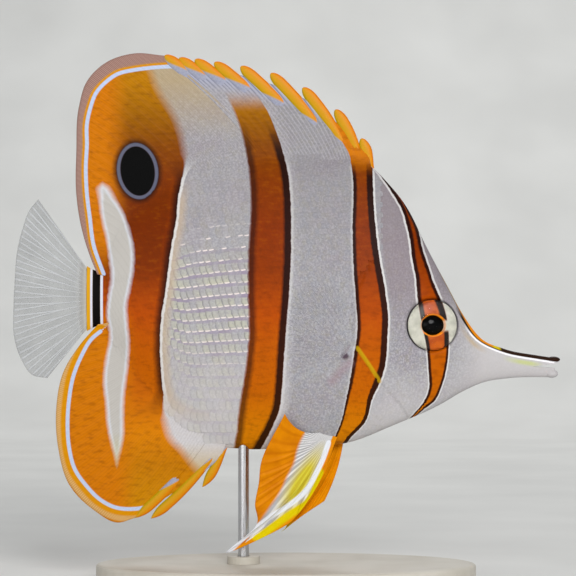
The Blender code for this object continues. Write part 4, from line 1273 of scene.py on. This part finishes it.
# %% Pelvic markings
RIGHT_PELVIC_KEYS = [
    ((13.8, 2.9, -37.6), (4.6, 5.4, -54.2)), ((13.5, 2.9, -37.5), (0.6, 5.0, -60.8)),
    ((13.2, 3.0, -37.4), (-16.1, 4.6, -68.7)),
    ((12.6, 3.1, -37.2), (-8.2, 5.8, -61.3)), ((12.0, 3.2, -37.0), (-8.4, 6.4, -55.3)),
    ((11.4, 3.3, -36.7), (-7.4, 6.9, -49.7)), ((10.9, 3.4, -36.3), (-6.2, 7.6, -42.2)),
    ((10.4, 3.4, -35.8), (-0.3, 8.4, -30.7)),
]
LEFT_PELVIC_KEYS = [
    ((15.9, 2.9, -37.6), (10.6, 4.8, -55.4)), ((15.6, 2.9, -37.5), (4.6, 4.6, -59.4)),
    ((15.2, 3.0, -37.4), (-1.2, 4.4, -63.8)),
    ((14.4, 3.1, -37.2), (0.2, 5.4, -62.0)), ((13.6, 3.2, -37.0), (-0.4, 5.9, -56.6)),
    ((12.8, 3.3, -36.7), (-0.2, 6.5, -51.2)), ((12.0, 3.4, -36.3), (0.4, 7.1, -44.6)),
    ((11.2, 3.4, -35.8), (4.4, 7.7, -34.2)),
]
PELVIC_BOWS = [0.045, 0.065, 0.085, 0.06, 0.04, 0.05, 0.1, 0.2]
LOBE_EDGE = [(4.9, -36.4), (3.8, -38.6), (3.0, -40.8), (2.2, -44.1), (0.5, -47.5), (-1.6, -52.0),
             (-4.8, -56.7), (-7.9, -61.3)]
LEADING_RAY = [(11.6, -38.8), (9.9, -43.6), (8.5, -46.5), (5.7, -51.5), (1.5, -55.3), (-3.8, -58.6),
               (-7.4, -61.2), (-16.1, -68.7)]
FRONT_STRIP = [(8.4, -47.4), (5.2, -54.2), (0.0, -57.8), (-7.7, -63.5)]
PELVIC_FAN_AT = (11.2, -38.6)
YELLOW_AT = (4.0, -49.5)


def pelvic_markings(x, z):
    """Where a place is on the near fin: its lobe, leading ray, front strip, rays and yellow glow."""
    from_root = np.arctan2(z - PELVIC_FAN_AT[1], x - PELVIC_FAN_AT[0])
    glow = np.hypot((x - YELLOW_AT[0]) * 0.8 - (z - YELLOW_AT[1]) * 0.5,
                    (z - YELLOW_AT[1]) * 0.2 + (x - YELLOW_AT[0]) * 0.15)
    return {"lobe": beside(LOBE_EDGE, x, z), "leading_ray": np.abs(beside(LEADING_RAY, x, z)),
            "front": -beside(FRONT_STRIP, x, z), "fan": from_root, "yellow": glow}


# %% Pelvic material
def make_pelvic_material(name, near):
    """Orange fin skin. The near fin has a white middle, a bright leading ray and a yellow front."""
    material, tree, told = new_material(name, "across", "lobe", "leading_ray", "front", "fan", "yellow")
    folds = node(tree, "Math", [told["across"], 2 * math.pi * 21], operation="MULTIPLY")
    folds = node(tree, "Math", [folds], operation="SINE")
    # The far fin's lighter orange is painted light, making up for the shade that the near fin casts over
    # it.
    deep, light = ("#BC6600", "#D88200") if near else ("#D87C00", "#EE9400")
    colour = coats(tree, light, (deep, lumps(tree, told, 5.0), 0.4, 0.7, 0.7),
                   ("#B45C00", folds, 0.3, 1.0, 0.35))
    if near:
        turn = node(tree, "Math", [told["fan"], 64.0], operation="MULTIPLY")
        rays = node(tree, "Math", [turn], operation="SINE")
        yellow = coat(tree, "#A9A8AA", "#C2AE10", told["yellow"], 3.4, 1.2, 0.95)
        bright = coat(tree, "#DEDCDA", "#CEC23A", told["yellow"], 3.4, 1.2)
        strip = coat(tree, "#D6C000", "#D88400", told["front"], 1.6, 2.4)
        colour = coats(tree, yellow, (bright, rays, -0.2, 0.8), (colour, told["lobe"], -0.5, 0.4),
                       (strip, told["front"], -0.3, 0.2), ("#DDE0E6", told["leading_ray"], 0.85, 0.55))
    else:
        colour = coat(tree, colour, "#CEB41A", told["height"], -60.5, -62.5)
    return surface(material, told, colour, 0.42, 0.05)


# %% Pelvic fins
near_pelvic = make_pelvic_material("banded_pelvic_skin", True)
far_pelvic = make_pelvic_material("orange_pelvic_skin", False)

for side, word, keys, finish in (
    (-1, "right", RIGHT_PELVIC_KEYS, near_pelvic), (1, "left", LEFT_PELVIC_KEYS, far_pelvic),
):
    keys = [[(x, side * y, z) for x, y, z in key] for key in keys]
    fin = fin_sheet(f"pelvic_web_{word}", keys, len(keys) - 1, 20, 48, bow=PELVIC_BOWS, root_half=0.6,
                    web=0.12, ridge=0.22, sink=1.5, even=True, split_from=0.25)
    x, _, z = coordinates(fin.data).T
    store(fin.data, pelvic_markings(x, z))
    finish_piece(to_world(fin, marked=False), finish, [f"pelvic_fin_{word}"])

# %% [markdown]
# ## Eyes
# A fish's eye is a ball with a clear dome over a silver iris, and its round lens stands out through
# the pupil. Each is its own piece here: the iris with a hole, the dark lens, and the dome of clear
# cornea, which bends light as the wet real one does.

# %% Eye materials
EYE_TURN = math.radians(12)
PUPIL_RADII = (3.3, 2.85)
PUPIL_PIT = 1.4
IRIS_RADII = (6.85, 1.35, 6.85)
CORNEA_RADII = (6.9, 2.28, 6.9)
LENS_MARGIN = 0.3
LENS_DEPTH = 2.0
LENS_SINK = -0.72


def make_iris_material():
    """Silver iris with copper where the eye's band crosses it and a gold ring round the pupil."""
    material, tree, told = new_material("silver_iris", "from_pupil", "eye_band", "eye_height")
    clouds = lumps(tree, told, 2.5, detail=3.0)
    colour = coat(tree, "#BEBDAE", "#D2D0C2", clouds, 0.4, 0.6)
    copper = coat(tree, "#C85C00", "#B04600", clouds, 0.4, 0.6)
    inside = profile(tree, told["eye_band"], [(-0.1, BARE), (0.1, EDGE), (0.9, EDGE), (1.3, COPPER),
                                              (8.3, COPPER), (8.7, EDGE), (9.9, EDGE), (10.1, BARE)])
    above, below = [node(tree, "MapRange", [told["eye_height"], *edges])
                    for edges in ((1.0, 1.7), (-1.2, -2.0))]
    shown = node(tree, "Math", [above, below], operation="MAXIMUM")
    for shade, part in ((copper, "Red"), ("#1A0E0A", "Green")):
        colour = coat(tree, colour, shade, node(tree, "SeparateColor", [inside], part), 0, 1, shown)
    ringed = node(tree, "Math", [shown, 0.45], operation="MAXIMUM")
    colour = coat(tree, colour, "#F08A00", told["from_pupil"], 0.34, 0.22, ringed)
    return surface(material, told, colour, 0.35, 0.3)


def make_plain_material(name, colour, roughness, **inputs):
    """A finish of one shade with a faint cloud in it."""
    material, tree, told = new_material(name)
    light = rgb(colour)
    shade = coat(tree, light, (*[c * 0.85 for c in light[:3]], 1), lumps(tree, told, 1.0), 0.3, 0.7)
    return dress(material, Base_Color=shade, Roughness=roughness, **inputs)


iris_finish = make_iris_material()
lens_finish = make_plain_material("dark_lens", "#010102", 0.1, IOR=1.2)
cornea_finish = make_plain_material("clear_cornea", "#FFFFFF", 0.0, IOR=1.03, Transmission_Weight=1.0)

# %% Eyes
def eye_piece(name, side, bm, material, replaced=()):
    """Turns a piece made round the eye's own middle, y outwards, to where the eye looks."""
    x, _, z = np.array([vert.co for vert in bm.verts]).T
    told = {"from_pupil": (np.hypot(x / PUPIL_RADII[0], z / PUPIL_RADII[1]) - 1) * 3, "eye_height": z}
    if side < 0:
        bmesh.ops.scale(bm, verts=bm.verts[:], vec=(1, -1, 1))
        bmesh.ops.reverse_faces(bm, faces=bm.faces[:])
    turn = Matrix.Rotation(-side * EYE_TURN, 3, "Z")
    bmesh.ops.rotate(bm, verts=bm.verts[:], matrix=turn)
    bmesh.ops.translate(bm, verts=bm.verts[:], vec=(EYE_AT[0], side * EYE_AT[1], EYE_AT[2]))
    obj = object_from(name, bm)
    store(obj.data, told)
    return finish_piece(to_world(obj), material, replaced)


def make_eye(side, word):
    iris = ball(IRIS_RADII, (0, 0, 0), 72, 56)
    wide, tall = PUPIL_RADII
    for vert in iris.verts:
        if vert.co.y > 0:
            from_middle = math.hypot(vert.co.x / wide, vert.co.z / tall)
            vert.co.y -= PUPIL_PIT * float(step(1.02, 0.9, from_middle))
    eye_piece(f"iris_{word}", side, iris, iris_finish)
    lens = ball((wide + LENS_MARGIN, LENS_DEPTH, tall + LENS_MARGIN), (0, LENS_SINK, 0), 48, 32)
    eye_piece(f"lens_{word}", side, lens, lens_finish)
    cornea = ball(CORNEA_RADII, (0, 0, 0), 72, 48)
    eye_piece(f"cornea_{word}", side, cornea, cornea_finish, [f"eye_{word}"])


for side, word in SIDES:
    make_eye(side, word)

# %% [markdown]
# ## Stand
# The stand's own solids stay. Its base is cast resin with a fine matt face, and the rod is drawn
# steel, whose long fine scratches spread its shine along it.

# %% Stand materials
def make_resin_material():
    material, tree, told = new_material("matt_cast_resin")
    colour = coat(tree, "#B9B3A6", "#C6C1B6", lumps(tree, told, 14.0, detail=4.0), 0.35, 0.65)
    return surface(material, told, colour, 0.58, 0.5, grain_mm=0.25, grain_high=0.00002)


def make_steel_material():
    material, tree, told = new_material("satin_drawn_steel")
    lines = lumps(tree, told, 0.2, (1, 1, 0.04), 3.0)
    rough = node(tree, "MapRange", [lines, 0.3, 0.7, 0.22, 0.36])
    bump = node(tree, "Bump", {"Height": lines, "Strength": 0.15, "Distance": 0.00005})
    return dress(material, Base_Color=coat(tree, "#B4B4B6", "#CBCBCD", lines, 0.3, 0.7),
                 Roughness=rough, Metallic=1.0, Normal=bump)


for name, material in (("stand_base", make_resin_material()), ("stand_rod", make_steel_material())):
    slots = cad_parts[name].data.materials
    slots.clear()
    slots.append(material)

# %% [markdown]
# ## Camera, floor and light
# The photo looks level at the fish's right side. A long lens keeps the disc's outline as flat as it
# is there. The floor and backdrop are one pale sweep, and three large soft lights stand in for an
# even studio.

# %% Camera
FRAME_WIDTH = 157.66
CAMERA_FROM = 700.0
CAMERA_AIM = (0.55, 0.0, 80.3)
SENSOR = 36.0


def make_camera():
    data = bpy.data.cameras.new("camera")
    data.sensor_width = SENSOR
    data.lens = SENSOR * CAMERA_FROM / FRAME_WIDTH
    data.clip_start = 0.01
    camera = add_object("camera", data)
    camera.location = (CAMERA_AIM[0] * MM, -CAMERA_FROM * MM, CAMERA_AIM[2] * MM)
    camera.rotation_euler = (math.pi / 2, 0, 0)
    bpy.context.scene.camera = camera


make_camera()

# %% Floor
FLOOR_HALF = 2.0
BACKDROP_BEND = 0.5
SWEEP_FROM = 0.7
SWEEP_RISE = 0.9
SWEEP_CURVE = 1.3


def make_floor():
    bm = grid(4, 60)

    def place(across, along, _):
        run = 2 * FLOOR_HALF * along - FLOOR_HALF
        past = np.maximum(run - SWEEP_FROM, 0)
        depth = np.minimum(run, SWEEP_FROM) + BACKDROP_BEND * np.tanh(past / BACKDROP_BEND)
        return np.column_stack([(across - 0.5) * 2 * FLOOR_HALF, depth, SWEEP_RISE * past ** SWEEP_CURVE])

    reshape(bm, place)
    bmesh.ops.recalc_face_normals(bm, faces=bm.faces[:])
    floor = object_from("studio_floor", bm)
    material, tree, told = new_material("matt_paper_sweep")
    colour = coat(tree, "#D9D9D6", "#E2E2DF", lumps(tree, told, 60.0), 0.3, 0.7)
    floor.data.materials.append(dress(material, Base_Color=colour, Roughness=0.9))
    floor.data.shade_smooth()


make_floor()


# %% Lights
FISH_MIDDLE = (0.0, 0.0, 0.08)
LIGHTS = [
    # name, place, size and power
    ("key_light", (0.3, -1.0, 0.5), 0.5, 8.0),
    ("fill_light", (-0.5, -1.0, 0.1), 0.7, 3.5),
    ("back_light", (0.1, 0.8, 0.8), 0.6, 3.0),
]


def soft_light(name, place, size, power):
    data = bpy.data.lights.new(name, "AREA")
    data.shape = "DISK"
    data.size = size
    data.energy = power
    light = add_object(name, data)
    light.location = place
    light.rotation_euler = (Vector(FISH_MIDDLE) - Vector(place)).to_track_quat("-Z", "Y").to_euler()


for light in LIGHTS:
    soft_light(*light)
world = bpy.data.worlds.new("studio_air")
bpy.context.scene.world = world
world.use_nodes = True
air = world.node_tree.nodes["Background"].inputs
air["Color"].default_value = rgb("#EDEFF2")
air["Strength"].default_value = 0.45
bpy.context.scene.view_settings.view_transform = "Standard"

# %% View layer update
bpy.context.view_layer.update()
